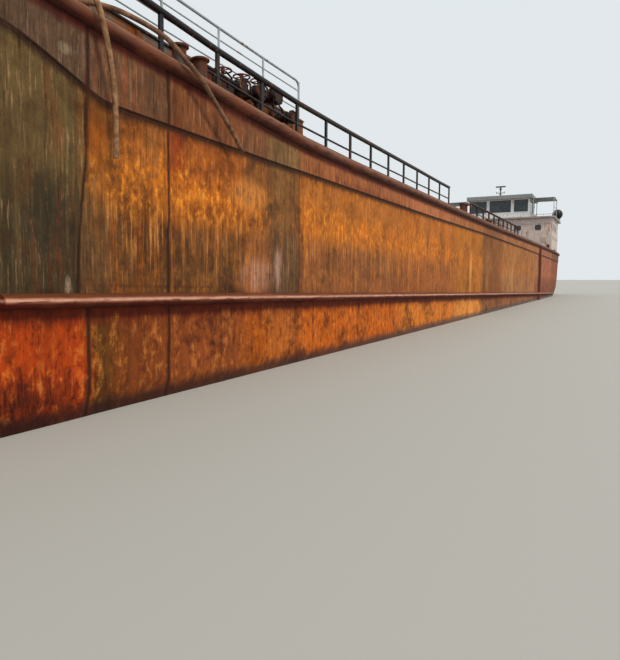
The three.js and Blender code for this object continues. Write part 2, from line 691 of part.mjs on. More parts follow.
// The walls of a house: a box with its inside taken out, open to the deck below and the deck above
function walls({ aft, fore, half }, foot, head) {
  const outer = alongDeck([aft, fore], [-half, half], foot, () => head);
  return cut(outer, block([aft + WALL, fore - WALL], [-half + WALL, half - WALL], [0, head + PAST]));
}

// The cut for a window in a wall that faces fore or aft, and in the port and starboard walls
const endWindow = (x, [y0, y1], heights) => block([x - THROUGH, x + THROUGH], [y0, y1], heights);
const sideWindows = ([x0, x1], half, heights) =>
  [half, -half].map((y) => block([x0, x1], [y - THROUGH, y + THROUGH], heights));

// The opening for a door in a wall that faces port. Its hinge is at the low-x edge
const doorway = (door, half) =>
  block(
    [door.x - DOOR.gap, door.x + DOOR.width + DOOR.gap],
    [half - THROUGH, half + THROUGH],
    [door.low - DOOR.gap, door.high + DOOR.gap],
  );

const hingeHeights = (door) => [0.2, 0.8].map((part) => door.low + (door.high - door.low) * part);

// Fixed half of a door's hinges: brackets with upright pins, outside the wall
function doorPins(door, half) {
  const y = half + HINGE.out;
  const { aft, fore, low, high } = BRACKET;
  return hingeHeights(door).flatMap((z) => [
    block([door.x + aft, door.x - 6], [half - 4, y + 5], [z + low, z + high]),
    block([door.x - 12, door.x + fore], [half + 2, y + 9], [z + low, z + high]),
    bar([door.x, y, z + high - 8], [door.x, y, z + HINGE.high + 2], HINGE.pin, 12),
  ]);
}

function doorLeaf(door, half) {
  const y = half + HINGE.out;
  const face = half - DOOR.sunk;
  const leaf = block([door.x + 14, door.x + DOOR.width], [face - DOOR.thick, face], [door.low, door.high]);
  const eyes = hingeHeights(door).flatMap((z) => [
    bar([door.x, y, z - HINGE.low - 1], [door.x, y, z + HINGE.high], HINGE.eye, 12),
    block([door.x, door.x + HINGE.strap], [half - 4, half + 10], [z - 18, z + 18]),
  ]);
  const bores = hingeHeights(door).map((z) => bore([door.x, y, z - 40], [door.x, y, z + 40], HINGE.pin));
  const { x, rise, out, grip, radius } = DOOR_HANDLE;
  const [root, level] = [door.x + x, door.low + rise];
  const handle = [
    bar([root, half - 6, level], [root, half + out, level], radius, 4),
    bar([root + 5, half + out - 4, level], [root - grip, half + out - 4, level], radius, 4),
  ];
  return cut(join(leaf, eyes, handle), bores);
}

// Both houses' windows: where they are along their wall, and their lowest and highest edge
const PORTS = {
  fore: { ys: [-1900, -950, 0, 950, 1900], half: 150, heights: [4080, 4340] },
  side: { xs: [-16900, -16200, -15550], half: 140, heights: [4060, 4320] },
  aft: { ys: [-1150, 1150], half: 150, heights: [4060, 4320] },
};
const PANES = {
  fore: {
    spans: [
      [-1390, -620],
      [-480, 580],
      [720, 1400],
    ],
    heights: [5030, 5640],
  },
  side: { span: [-16380, -15250], heights: [5070, 5640] },
  aft: {
    spans: [
      [-1100, -300],
      [300, 1100],
    ],
    heights: [5090, 5640],
  },
};

function lowerHouse() {
  const { half, fore, aft, head } = HOUSE;
  const span = (middle, row) => [middle - row.half, middle + row.half];
  const ports = [
    PORTS.fore.ys.map((y) => endWindow(fore, span(y, PORTS.fore), PORTS.fore.heights)),
    PORTS.aft.ys.map((y) => endWindow(aft, span(y, PORTS.aft), PORTS.aft.heights)),
    PORTS.side.xs.map((x) => sideWindows(span(x, PORTS.side), half, PORTS.side.heights)),
  ];
  const way = turnAft(doorway(HOUSE_DOOR, -aft));
  const pins = turnAft(join(doorPins(HOUSE_DOOR, -aft)));
  return join(cut(walls(HOUSE, onDeck, head), ports, way, mirrored(way)), pins, mirrored(pins));
}

function wheelhouse() {
  const { half, fore, aft, foot, head } = BRIDGE;
  const shell = cut(
    block([aft, fore], [-half, half], [foot, head]),
    block([aft + WALL, fore - WALL], [-half + WALL, half - WALL], [foot - PAST, head + PAST]),
  );
  const panes = [
    PANES.fore.spans.map((span) => endWindow(fore, span, PANES.fore.heights)),
    PANES.aft.spans.map((span) => endWindow(aft, span, PANES.aft.heights)),
    sideWindows(PANES.side.span, half, PANES.side.heights),
  ];
  const way = doorway(BRIDGE_DOOR, half);
  const pins = join(doorPins(BRIDGE_DOOR, half));
  return join(cut(shell, panes, way, mirrored(way)), pins, mirrored(pins));
}

const slab = ({ aft, fore, half, low, high }) => block([aft, fore], [-half, half], [low, high]);

// A light awning over each bridge wing, on four posts, with rails at its outer side
const AWNING = { inner: ROOF.half + 20, outer: 2640, aft: -16500, fore: -15060, low: 5640, high: 5672 };
const AWNING_POST = { inset: [40, 30], radius: 16, rails: [240, 480], rail: 11 };

function wingAwning() {
  const { inner, outer, aft, fore, low, high } = AWNING;
  const foot = BOAT_DECK.high + PLATE_GAP;
  const [inX, inY] = AWNING_POST.inset;
  const posts = [aft + inX, fore - inX].flatMap((x) =>
    [inner + inY, outer - inY].map((y) => bar([x, y, foot], [x, y, low + 5], AWNING_POST.radius, 8)),
  );
  const rails = AWNING_POST.rails.map((rise) => {
    const [y, z] = [outer - inY, foot + rise];
    return bar([aft + inX, y, z], [fore - inX, y, z], AWNING_POST.rail, 6);
  });
  return join(block([aft, fore], [inner, outer], [low, high]), posts, rails);
}

// The scanner mast on the roof and the scanner that turns on it
const MAST = { x: -16300, y: -150, radius: 34, foot: 90, plate: 16, pin: 14, pinHeight: 40, seat: 6430 };
const MAST_HEAD = { radius: 60, height: 70 };
const MAST_YARD = { half: 220, drop: 230, radius: 14 };
const SCANNER = { hub: 40, half: 250, deep: 35, low: 60, high: 130 };

function radarMast() {
  const { x, y, radius, foot, plate, pin, pinHeight, seat } = MAST;
  const floor = ROOF.high + PLATE_GAP;
  const yard = seat - MAST_YARD.drop;
  return join([
    block([x - foot, x + foot], [y - foot, y + foot], [floor, floor + plate]),
    bar([x, y, floor], [x, y, seat - 10], radius, 10),
    bar([x, y, seat - MAST_HEAD.height], [x, y, seat], MAST_HEAD.radius, 12),
    bar([x, y, seat - 5], [x, y, seat + pinHeight], pin, 12),
    bar([x, y - MAST_YARD.half, yard], [x, y + MAST_YARD.half, yard], MAST_YARD.radius, 8),
  ]);
}

function radarScanner() {
  const { x, y, pin, pinHeight, seat } = MAST;
  const { hub, half, deep, low, high } = SCANNER;
  const head = join([
    bar([x, y, seat + PLATE_GAP], [x, y, seat + low + 10], hub, 12),
    block([x - deep, x + deep], [y - half, y + half], [seat + low, seat + high]),
  ]);
  return cut(head, bore([x, y, seat - 10], [x, y, seat + pinHeight + 6], pin));
}

// The black signal ball on its post at the port end of the boat deck
const BALL = { x: -17300, y: 2590, radius: 255, z: 5065, post: 18, foot: 50, plate: 12 };

function signalBall() {
  const { x, y, radius, z, post, foot, plate } = BALL;
  const floor = BOAT_DECK.high + PLATE_GAP;
  const ball = new THREE.SphereGeometry(radius, 16, 10).rotateX(Math.PI / 2);
  return join([
    bar([x, y, floor], [x, y, z], post, 8),
    block([x - foot, x + foot], [y - foot, y + foot], [floor, floor + plate]),
    ball.translate(x, y, z),
  ]);
}

// The funnel casing narrows a little upwards, and two pipes stand out of it
const FUNNEL = { aft: -18050, fore: [-17330, -17400], half: [420, 380], corner: 120, height: 950 };
const PIPES = { ys: [-170, 170], x: [-17720, -17760], sunk: 50, height: 230, radius: 62 };

function funnel() {
  const foot = BOAT_DECK.high + PLATE_GAP;
  const { aft, corner, height } = FUNNEL;
  const ring = (z, fore, half) => [
    [aft, corner - half, z],
    [aft + corner, -half, z],
    [fore - corner, -half, z],
    [fore, corner - half, z],
    [fore, half - corner, z],
    [fore - corner, half, z],
    [aft + corner, half, z],
    [aft, half - corner, z],
  ];
  const rings = [0, 1].map((end) => ring(foot + end * height, FUNNEL.fore[end], FUNNEL.half[end]));
  const [low, high] = [foot + height - PIPES.sunk, foot + height + PIPES.height];
  const pipes = PIPES.ys.map((y) => bar([PIPES.x[0], y, low], [PIPES.x[1], y, high], PIPES.radius, 12));
  return join(loft(rings), pipes);
}

// Guard rail round the aft half of the boat deck
const BOAT_RAIL = { inset: 40, xs: [-17620, -17915, -18210], ys: [1800, 900, 0, -900, -1800] };

function boatDeckRail() {
  const foot = BOAT_DECK.high + PLATE_GAP;
  const [aft, side] = [BOAT_DECK.aft + BOAT_RAIL.inset, BOAT_DECK.half - BOAT_RAIL.inset];
  const port = BOAT_RAIL.xs.map((x) => [x, side]);
  const back = BOAT_RAIL.ys.map((y) => [aft, y]);
  const starboard = port.map(([x, y]) => [x, -y]).reverse();
  return guardRail([...port, ...back, ...starboard], {
    foot: () => foot,
    height: RAIL.height,
    post: [24, 24],
    rail: 14,
    rails: [[RAIL.height / 2, 9]],
  });
}

// Propeller: hub, four blades and the shaft, turning as one
const PROP = { hub: 95, half: 110, nose: 190, blades: 4, tip: 390, chord: 150, pitch: 0.45, thick: 22 };

function propeller() {
  const { y, z, radius, fore, prop } = SHAFT;
  const { hub, half, nose, blades, tip, chord, pitch, thick } = PROP;
  const middle = (hub + tip) / 2 - 10;
  const wheel = Array.from({ length: blades }, (_, i) => {
    const plate = new THREE.CylinderGeometry(1, 1, thick, 12);
    plate.scale(tip - middle, 1, chord).rotateX(Math.PI / 2).rotateY(Math.PI / 2);
    plate.rotateZ(pitch).translate(0, 0, middle);
    return plate.rotateX((i / blades) * 2 * Math.PI + Math.PI / 4).translate(prop, y, z);
  });
  return join([
    bar([prop + half, y, z], [prop - half, y, z], hub, 14, hub - 20),
    bar([prop - half + 5, y, z], [prop - nose, y, z], hub - 20, 14, 25),
    bar([prop + half - 10, y, z], [fore - 10, y, z], radius, 14),
    wheel,
  ]);
}

// The bracket that carries the shaft's end, on two struts from the hull
const SHAFT_BRACKET = { x: -16950, half: 110, wall: 35, spread: 260, strut: 42, into: 60 };

function shaftBracket() {
  const { x, half, wall, spread, strut, into } = SHAFT_BRACKET;
  const { y, z, radius } = SHAFT;
  const barrel = bar([x - half, y, z], [x + half, y, z], radius + wall, 14);
  const head = along(x, "low") + into;
  const struts = [y - spread, y + spread].map((foot) => bar([x, y, z], [x, foot, head], strut, 8));
  const lowered = HULL.clone().translate(0, 0, -PLATE_GAP);
  return cut(join(barrel, struts), lowered, bore([x - 2 * half, y, z], [x + 2 * half, y, z], radius));
}

// Rudder: a foil-shaped blade and its stock, which enters the hull. The foil is given as parts of its length
// ahead of the stock, of its length behind it, and of its half thickness
const FOIL = { nose: [0.6, 0.84], tail: [0.4, 0.8], edge: 6 };

function rudder() {
  const { x, y, low, high, fore, aft, thick } = RUDDER;
  const half = thick / 2;
  const port = [
    [fore * FOIL.nose[0], half * FOIL.nose[1]],
    [0, half],
    [-aft * FOIL.tail[0], half * FOIL.tail[1]],
    [-aft, FOIL.edge],
  ];
  const starboard = port.map(([a, b]) => [a, -b]).reverse();
  const outline = [[fore, 0], ...port, ...starboard].map(([a, b]) => new THREE.Vector2(x + a, y + b));
  const foil = new THREE.Shape(outline);
  const blade = new THREE.ExtrudeGeometry(foil, { depth: high - low, bevelEnabled: false });
  const stock = bar([x, y, high - STOCK.sunk], [x, y, STOCK.head], STOCK.radius, 14);
  return join(blade.translate(0, 0, low), stock);
}

// Hanging hoses: each leaves its stub on the deck, goes over the sheer bar and hangs down the side
const HOSE = { radius: 18, sides: 8, steps: 26 };
const HOSE_ROUTES = {
  hanging_hose_fore: [
    [14150, 2320.5, 2915],
    [14150, 2400, 2916],
    [14142, 2520, 2914],
    [14122, 2640, 2886],
    [14098, 2738, 2824],
    [14072, 2790, 2739],
    [14038, 2804, 2627],
    [13998, 2804, 2491],
    [13960, 2799, 2339],
    [13937, 2792, 2191],
    [13927, 2785, 2025],
    [13921, 2778, 1856],
  ],
  hanging_hose_aft: [
    [13900, 2320.5, 2880],
    [13900, 2400, 2882],
    [13835, 2485, 2888],
    [13690, 2565, 2886],
    [13535, 2630, 2860],
    [13420, 2685, 2822],
    [13350, 2743, 2764],
    [13250, 2788, 2674],
    [13088, 2803, 2588],
    [12955, 2804, 2491],
    [12808, 2802, 2388],
    [12659, 2798, 2280],
    [12530, 2794, 2175],
  ],
};

function hose(route) {
  const path = new THREE.CatmullRomCurve3(route.map((p) => new THREE.Vector3(...p)));
  const outline = new THREE.Shape(
    Array.from({ length: HOSE.sides }, (_, i) => {
      const turn = (i / HOSE.sides) * 2 * Math.PI;
      return new THREE.Vector2(HOSE.radius * Math.cos(turn), HOSE.radius * Math.sin(turn));
    }),
  );
  return new THREE.ExtrudeGeometry(outline, { extrudePath: path, steps: HOSE.steps, bevelEnabled: false });
}

const RUST = 0x8a4a22;
const DARK = 0x2a2628;
const WHITE = 0xd9dcdc;

add("hull", HULL, RUST);
add("main_deck", mainDeck(), 0x5a4236);
const upperFender = fenderBar(STRAKE_HEAD + PLATE_GAP, along(FENDER_BAR.x, "edge") - SHEER_BAR.height / 2);
addPair("sheer_bar", join(sheerBar(), upperFender), 0xa8755a);
addPair("mid_strake", join(midStrake(), fenderBar(FENDER_BAR.foot, MID_STRAKE.z)), 0xa8603a);
addPair("side_rail_fore", foreRail(), DARK);
addPair("side_rail_aft", aftRail(AFT_RAIL), 0x4a2c22);
add("stern_rail", sternRail(), 0xc8ccca, PAINT);
add("fore_trunk", foreTrunk(), 0x6a5a4c);
add("trunk_rail", trunkRail(), 0x9fb0b8, PAINT);
add("cargo_lines", cargoLines(), 0x6c6058);
addPair("manifold", manifold(), 0x33251f);
add("windlass_frame", windlassFrame(), 0x3c4a44);
add("windlass_drum", windlassDrum(), 0x3a3634);
addPair("anchor", anchor(), 0x2e2a2a);
add("foremast", foremast(), WHITE, PAINT);
add("davit_pillar", davitPillar(), 0x8a8a80, PAINT);
add("davit_jib", davitJib(), 0x8a8a80, PAINT);
HATCHES.xs.forEach((x, i) => add("hatch_lid_" + (i + 1), hatchLid(x), 0x5c4436));
add("lower_house", lowerHouse(), 0xb9aaa6, PAINT);
add("boat_deck", slab(BOAT_DECK), 0xa9a9a6, PAINT);
add("wheelhouse", wheelhouse(), WHITE, PAINT);
add("wheelhouse_roof", slab(ROOF), 0x8d9496, PAINT);
addPair("wing_awning", wingAwning(), 0xb9c2c4, PAINT);
addPair("house_door", turnAft(doorLeaf(HOUSE_DOOR, -HOUSE.aft)), 0xa8a8a2, PAINT);
addPair("bridge_door", doorLeaf(BRIDGE_DOOR, BRIDGE.half), WHITE, PAINT);
add("radar_mast", radarMast(), 0x5a6468, PAINT);
add("radar_scanner", radarScanner(), 0x4a5458, PAINT);
add("signal_ball", signalBall(), 0x151518, PAINT);
add("funnel", funnel(), 0x3a4048, PAINT);
add("boat_deck_rail", boatDeckRail(), 0xc8ccca, PAINT);
addPair("propeller", propeller(), 0x9a7a3a, { roughness: 0.4, metalness: 0.8 });
addPair("shaft_bracket", shaftBracket(), 0x5a3a2a);
addPair("rudder", rudder(), 0x5a3a2a);
for (const [name, route] of Object.entries(HOSE_ROUTES)) add(name, hose(route), 0x8f8678, PAINT);

export default ship;
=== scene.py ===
"""Looks of a weathered inland oil tanker, a half-size model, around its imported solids.

Units are metres of the model. +X is the bow, +Y is port, +Z is up, and the flat bottom lies on z = 0. The ship floats
light, deeper at the stern, so the water's plane is tilted against the bottom.
"""
from collections import namedtuple
from functools import cache, partial
from math import atan, cos, pi, radians, sin, sqrt, tan

import bpy
from mathutils import Matrix, Vector, noise
from mathutils.bvhtree import BVHTree


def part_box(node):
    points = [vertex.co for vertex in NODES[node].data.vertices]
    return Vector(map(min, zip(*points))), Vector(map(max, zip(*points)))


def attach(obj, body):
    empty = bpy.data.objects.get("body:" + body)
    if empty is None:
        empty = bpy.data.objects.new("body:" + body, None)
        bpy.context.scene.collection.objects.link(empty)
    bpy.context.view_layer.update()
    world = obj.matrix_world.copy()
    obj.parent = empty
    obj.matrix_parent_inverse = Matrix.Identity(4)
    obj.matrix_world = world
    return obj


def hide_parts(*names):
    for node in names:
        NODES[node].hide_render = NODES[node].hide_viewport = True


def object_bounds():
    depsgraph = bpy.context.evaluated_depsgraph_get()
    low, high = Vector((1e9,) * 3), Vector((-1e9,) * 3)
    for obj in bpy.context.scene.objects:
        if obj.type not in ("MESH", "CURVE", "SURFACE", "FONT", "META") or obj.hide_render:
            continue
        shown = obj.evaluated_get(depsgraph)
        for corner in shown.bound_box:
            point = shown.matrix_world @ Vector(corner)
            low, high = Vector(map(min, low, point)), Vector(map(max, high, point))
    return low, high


bl_info = {
    "name": "Weathered Inland Tanker",
    "version": (1, 0, 0),
    "blender": (4, 5, 0),
    "location": "View3D > Sidebar > Tanker",
    "description": "Finishes and fine pieces of a half-size inland oil tanker",
    "category": "Object",
}

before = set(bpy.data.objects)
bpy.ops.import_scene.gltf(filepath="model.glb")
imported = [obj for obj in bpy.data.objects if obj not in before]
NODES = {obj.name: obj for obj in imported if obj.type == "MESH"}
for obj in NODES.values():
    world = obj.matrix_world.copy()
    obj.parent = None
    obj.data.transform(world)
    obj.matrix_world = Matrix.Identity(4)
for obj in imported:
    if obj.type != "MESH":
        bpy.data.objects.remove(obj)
CAD_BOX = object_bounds()
ROOT = "hull"
SIDES = ((1, "port"), (-1, "starboard"))
BOW, PORT, UP = Vector((1, 0, 0)), Vector((0, 1, 0)), Vector((0, 0, 1))


def linear(hex_colour):
    """An sRGB hex colour as linear red, green and blue, with full alpha."""
    parts = [int(hex_colour[i : i + 2], 16) / 255 for i in (1, 3, 5)]
    low = [p / 12.92 if p <= 0.04045 else ((p + 0.055) / 1.055) ** 2.4 for p in parts]
    return (*low, 1.0)


def colour_property(name, description, hex_colour):
    return bpy.props.FloatVectorProperty(
        name=name, description=description, subtype="COLOR", size=4, min=0, max=1, default=linear(hex_colour)
    )


def length_property(name, description, metres):
    return bpy.props.FloatProperty(name=name, description=description, unit="LENGTH", default=metres)


class TankerColours(bpy.types.PropertyGroup):
    """Colours that set the ship's look"""

    # Dark scale of laps and seams; the same colour also paints the shade under the lap
    scale: colour_property("Mill scale", "Dark scale in laps, seams and corners", "#2a1208")
    oil: colour_property("Oily runs", "Thin dark runs of dirty water", "#2a160a")
    gold: colour_property("Golden rust", "Bright rust where clean water runs", "#d88c30")
    tan: colour_property("Tan runs", "Dried pale runs below the bright rust", "#c0884a")
    wet: colour_property("Wet band", "Plating that the water wets", "#2e0c06")
    rail_paint: colour_property("Rail paint", "Guard rails along the side", "#1a1618")
    house_white: colour_property("House white", "Wheelhouse walls", "#dcdfe0")
    floor: colour_property("Floor", "Plain floor at the waterline", "#a6a6a2")
    backdrop: colour_property("Backdrop", "Plain light round the ship", "#e2e8eb")


class TankerSizes(bpy.types.PropertyGroup):
    """Sizes that set the ship's look"""

    water_amidships: length_property("Water amidships", "Height of the water above the bottom amidships", 0.525)
    trim: bpy.props.FloatProperty(
        name="Trim", description="Tilt of the water's plane, bow up", unit="ROTATION", default=0.02
    )
    dent_depth: length_property("Dent depth", "Deepest dent in the plating", 0.010)
    hose_diameter: length_property("Hose diameter", "Hanging hoses, outside", 0.036)
    grid: length_property("Grid", "Spacing of points along the near plating", 0.05)


def colours():
    return bpy.context.scene.tanker_colours


def sizes():
    return bpy.context.scene.tanker_sizes


# Kinds of node: a type with the settings that make it what it is
NOISE, MAPPING, RAMP, SPAN, BUMP, PLACE, SPLIT, SHADER, SURFACE = (
    ("ShaderNode" + name, {})
    for name in (
        *("TexNoise", "Mapping", "ValToRGB", "MapRange", "Bump", "TexCoord", "SeparateXYZ", "BsdfPrincipled"),
        "OutputMaterial",
    )
)
PLUS, MINUS, TIMES, TIMES_PLUS, OVER, LARGER, SIZE = (
    ("ShaderNodeMath", {"operation": name})
    for name in ("ADD", "SUBTRACT", "MULTIPLY", "MULTIPLY_ADD", "DIVIDE", "MAXIMUM", "ABSOLUTE")
)
BLEND = ("ShaderNodeMix", {"data_type": "RGBA"})
DARKEN = ("ShaderNodeMix", {"data_type": "RGBA", "blend_type": "MULTIPLY"})
BETWEEN = ("ShaderNodeMix", {"data_type": "FLOAT"})
ABOVE_LAP, BELOW_EDGE, SEAM, RISE = (
    ("ShaderNodeAttribute", {"attribute_name": name}) for name in ("above_lap", "below_edge", "seam", "rise")
)


def add_node(tree, kind, *values, stops=(), **named):
    """Adds a node with its settings and links. Values go to its live sockets, in their order or by name, where a node
    or another socket is linked and anything else is set. Stops are the places and colours of a ramp."""
    made = tree.nodes.new(kind[0])
    for name, setting in kind[1].items():
        setattr(made, name, setting)
    if stops:
        ramp = made.color_ramp.elements
        ramp.remove(ramp[1])
        ramp[0].position, ramp[0].color = stops[0]
        for place, colour in stops[1:]:
            ramp.new(place).color = colour
    live = [s for s in made.inputs if s.enabled]
    by_name = [(next(s for s in live if s.name == name.replace("_", " ")), value) for name, value in named.items()]
    for target, value in [*zip(live, values), *by_name]:
        if isinstance(value, bpy.types.Node):
            value = next(s for s in value.outputs if s.enabled)
        if isinstance(value, bpy.types.NodeSocket):
            tree.links.new(value, target)
        else:
            target.default_value = value
    return made


def new_material(name):
    """An empty material, and the function that adds nodes to it."""
    made = bpy.data.materials.new(name)
    made.use_nodes = True
    made.node_tree.nodes.clear()
    return made, partial(add_node, made.node_tree)


def even_finish(name, colour, roughness, metallic=0.0):
    """A material that is the same all over, for what is thin, or is no part of the ship."""
    made, put = new_material(name)
    put(SURFACE, put(SHADER, colour, metallic, roughness))
    return made


def grey(level):
    return (level, level, level, 1.0)


def shaded(colour, share):
    """A colour made darker or lighter."""
    return [min(1, part * share) for part in colour[:3]] + [1]


def rust_paint(name, paint, rust, amount, roughness, streak_mm, metallic=0.0, grit_mm=9):
    """Brushed ship's enamel over mild steel: runs of rust come down through it, and its gloss is chalked. Runs are
    50 mm wide and patches about 310 mm. Chalk has grains well under 1 mm, and is drawn at grit_mm so that it shows."""
    made, put = new_material(name)
    paint, rust = (linear(colour) if isinstance(colour, str) else colour for colour in (paint, rust))
    place = put(PLACE).outputs["Object"]
    runs = put(MAPPING, Vector=place, Scale=[1000 / mm for mm in (50, 50, streak_mm)])
    run = put(NOISE, Vector=runs, Scale=1.0, Detail=5.0, Roughness=0.6)
    patch = put(NOISE, Vector=place, Scale=1000 / 312.5, Detail=6.0, Roughness=0.68)
    grain = put(NOISE, Vector=place, Scale=1000 / grit_mm, Detail=3.0)
    edge = 1.22 - amount * 0.5
    mask = put(SPAN, put(PLUS, run, patch), edge, edge + 0.16)
    fade = put(RAMP, patch, stops=[(0.3, shaded(paint, 0.72)), (0.55, paint), (0.75, shaded(paint, 1.12))])
    bloom = put(RAMP, run, stops=[(0.3, shaded(rust, 0.35)), (0.6, rust), (0.8, linear("#b98a50"))])
    skin = put(BLEND, mask, fade, bloom)
    rough = put(SPAN, mask, To_Min=roughness - 0.1, To_Max=0.88)
    bump = put(BUMP, Height=put(TIMES_PLUS, grain, mask, 0.3), Strength=0.35, Distance=0.004)
    enamel = {"Base_Color": skin, "Metallic": metallic, "Roughness": rough, "Specular_IOR_Level": 0.3, "Normal": bump}
    put(SURFACE, put(SHADER, **enamel))
    return made


# Zones of the side's plating, bow to stern: where one starts, how softly it goes over into the zone ahead of it, the
# colours above the lap, under it, further down, and below the mid strake, and how much golden rust runs there
Zone = namedtuple("Zone", "start soft top high deep low gold")
ZONES = [
    Zone(19.5, 0.2, "#6a4a34", "#74441f", "#4a3c26", "#8a3c10", 0.3),
    Zone(16.2, 0.3, "#5c4432", "#5e4a2a", "#40341f", "#a83c04", 0.0),
    Zone(14.1, 0.02, "#6c4c38", "#80501c", "#5c4024", "#58360a", 0.4),
    Zone(13.9, 0.15, "#70492e", "#844c1a", "#573618", "#783a12", 0.8),
    Zone(13.34, 0.04, "#7a4624", "#924a14", "#5c3c1c", "#864218", 1.0),
    Zone(12.35, 0.2, "#76482a", "#98581e", "#88522c", "#a85208", 0.7),
    Zone(11.95, 0.15, "#826038", "#825628", "#60442a", "#aa5a1c", 0.1),
    Zone(11.36, 0.1, "#9e5c32", "#ac6420", "#86502a", "#bc5c0c", 0.85),
    Zone(8.2, 0.5, "#b46c42", "#b4661a", "#965628", "#ca7220", 0.85),
    Zone(4.8, 0.8, "#a86638", "#b26a18", "#b06a1e", "#d8883a", 0.5),
    Zone(2.2, 0.2, "#8c5630", "#845020", "#824c1c", "#84502a", 0.1),
    Zone(-0.4, 0.4, "#a86a3c", "#a46830", "#a26c40", "#8e5a34", 0.3),
    Zone(-7.8, 0.4, "#a87050", "#a8704c", "#865038", "#7e4626", 0.1),
    Zone(-8.8, 0.05, "#863c20", "#6c2604", "#5c220a", "#5a2610", 0.0),
    Zone(-9.5, 0.1, "#a0644a", "#a66244", "#824834", "#744028", 0.1),
    Zone(-14.0, 0.6, "#7e4c38", "#8a4e34", "#70402e", "#6a3a28", 0.1),
]
HALF_LENGTH = (CAD_BOX[1].x - CAD_BOX[0].x) / 2
SEAMS = [17.9, 16.2, 11.36, 8.2, 5.3, 2.3, -0.5, -3.4, -6.3, -12.1, -15.0, -17.4]
# Seams that gape and weep: their place at the lap, how far they lean towards the bow in each metre down, and width
WEEPING_SEAMS = [(14.075, 0.10, 0.016), (13.345, 0.0, 0.018)]
# Marks on the near plating: middle (x, z), half length and height, colour and strength
MARKS = [
    ((14.01, 1.97), (0.09, 0.17), "#a0500c", 0.8),
    ((14.36, 1.46), (0.17, 0.24), "#2a271c", 0.8),
    ((14.86, 0.40), (0.80, 0.19), "#3c1002", 1.0),
    ((14.23, 2.42), (0.06, 0.03), "#98866c", 0.5),
    ((13.25, 2.02), (0.10, 0.20), "#8c2a08", 0.65),
    ((12.12, 1.16), (0.26, 0.16), "#bc8a70", 0.75),
    ((12.30, 1.86), (0.30, 0.14), "#d88c44", 0.7),
    ((11.78, 1.26), (0.07, 0.22), "#b89484", 0.8),
    ((11.80, 1.52), (0.07, 0.12), "#44240c", 0.7),
    ((14.24, 1.06), (0.02, 0.05), "#a88a78", 0.7),
    ((13.45, 1.06), (0.60, 0.015), "#4a2410", 0.6),
    ((9.9, 1.36), (0.8, 0.16), "#6c4428", 0.6),
    ((9.2, 2.28), (1.6, 0.05), "#6a2406", 0.6),
    ((3.66, 1.40), (0.08, 0.6), "#84440c", 0.9),
    ((3.44, 1.45), (0.10, 0.55), "#dc9c54", 0.8),
    ((5.9, 1.60), (0.16, 0.5), "#6e4020", 0.6),
    ((1.55, 1.55), (0.28, 0.5), "#a87a40", 0.5),
    ((-2.2, 1.65), (0.5, 0.6), "#c08a52", 0.6),
    ((-5.4, 1.60), (0.6, 0.6), "#86502c", 0.5),
]
# The edge where the top row of plates laps over the row below it: x and height
LAP_LINE = [
    *((-19.44, 2.63), (-8.9, 2.54), (-4.6, 2.50), (2.05, 2.41), (6.7, 2.31), (12.5, 2.215), (13.75, 2.20)),
    *((13.94, 2.205), (14.075, 2.245), (14.39, 2.36), (14.6, 2.425), (15.4, 2.52), (17.0, 2.60), (19.44, 2.68)),
]
STRAKE_HEIGHT = 0.09
STRAKE_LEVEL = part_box("mid_strake_port")[1].z - STRAKE_HEIGHT / 2

# Patterns in the rust of the plating: width and height in millimetres, detail, roughness and distortion
PLATE_PATTERNS = [
    (70, 600, 6.0, 0.64, 0.2),  # runs down the plate
    (16, 220, 4.0, 0.62, 0.1),  # thin runs
    (50, 2000, 5.0, 0.66, 0.0),  # columns, which hold their value down the side
    (420, 1600, 4.0, 0.55, 0.0),  # broad bands
    (400, 340, 8.0, 0.68, 0.4),  # blotches
    (60, 90, 6.0, 0.66, 0.3),  # flecks of loose scale
    (11, 11, 4.0, 0.7, 0.0),  # pits, which are 1 to 3 mm wide on steel and are drawn coarser so that they show
]


def lap_height(x):
    """The height of the lap's edge at x."""
    for (x0, z0), (x1, z1) in zip(LAP_LINE, LAP_LINE[1:]):
        if x <= x1:
            return z0 + (z1 - z0) * (x - x0) / (x1 - x0)
    return LAP_LINE[-1][1]


def along_hull(key):
    """Stops of a ramp that runs over the hull's length, stern to bow: two for each zone, so their borders are soft."""
    stops = []
    ends = [(zone.start, zone.soft) for zone in ZONES[1:]] + [(-HALF_LENGTH, 0.0)]
    for zone, (aft, aft_soft) in reversed(list(zip(ZONES, ends))):
        value = getattr(zone, key)
        for x in (aft + aft_soft / 2, zone.start - zone.soft / 2):
            stops.append(((x + HALF_LENGTH) / (2 * HALF_LENGTH), grey(value) if key == "gold" else linear(value)))
    return stops


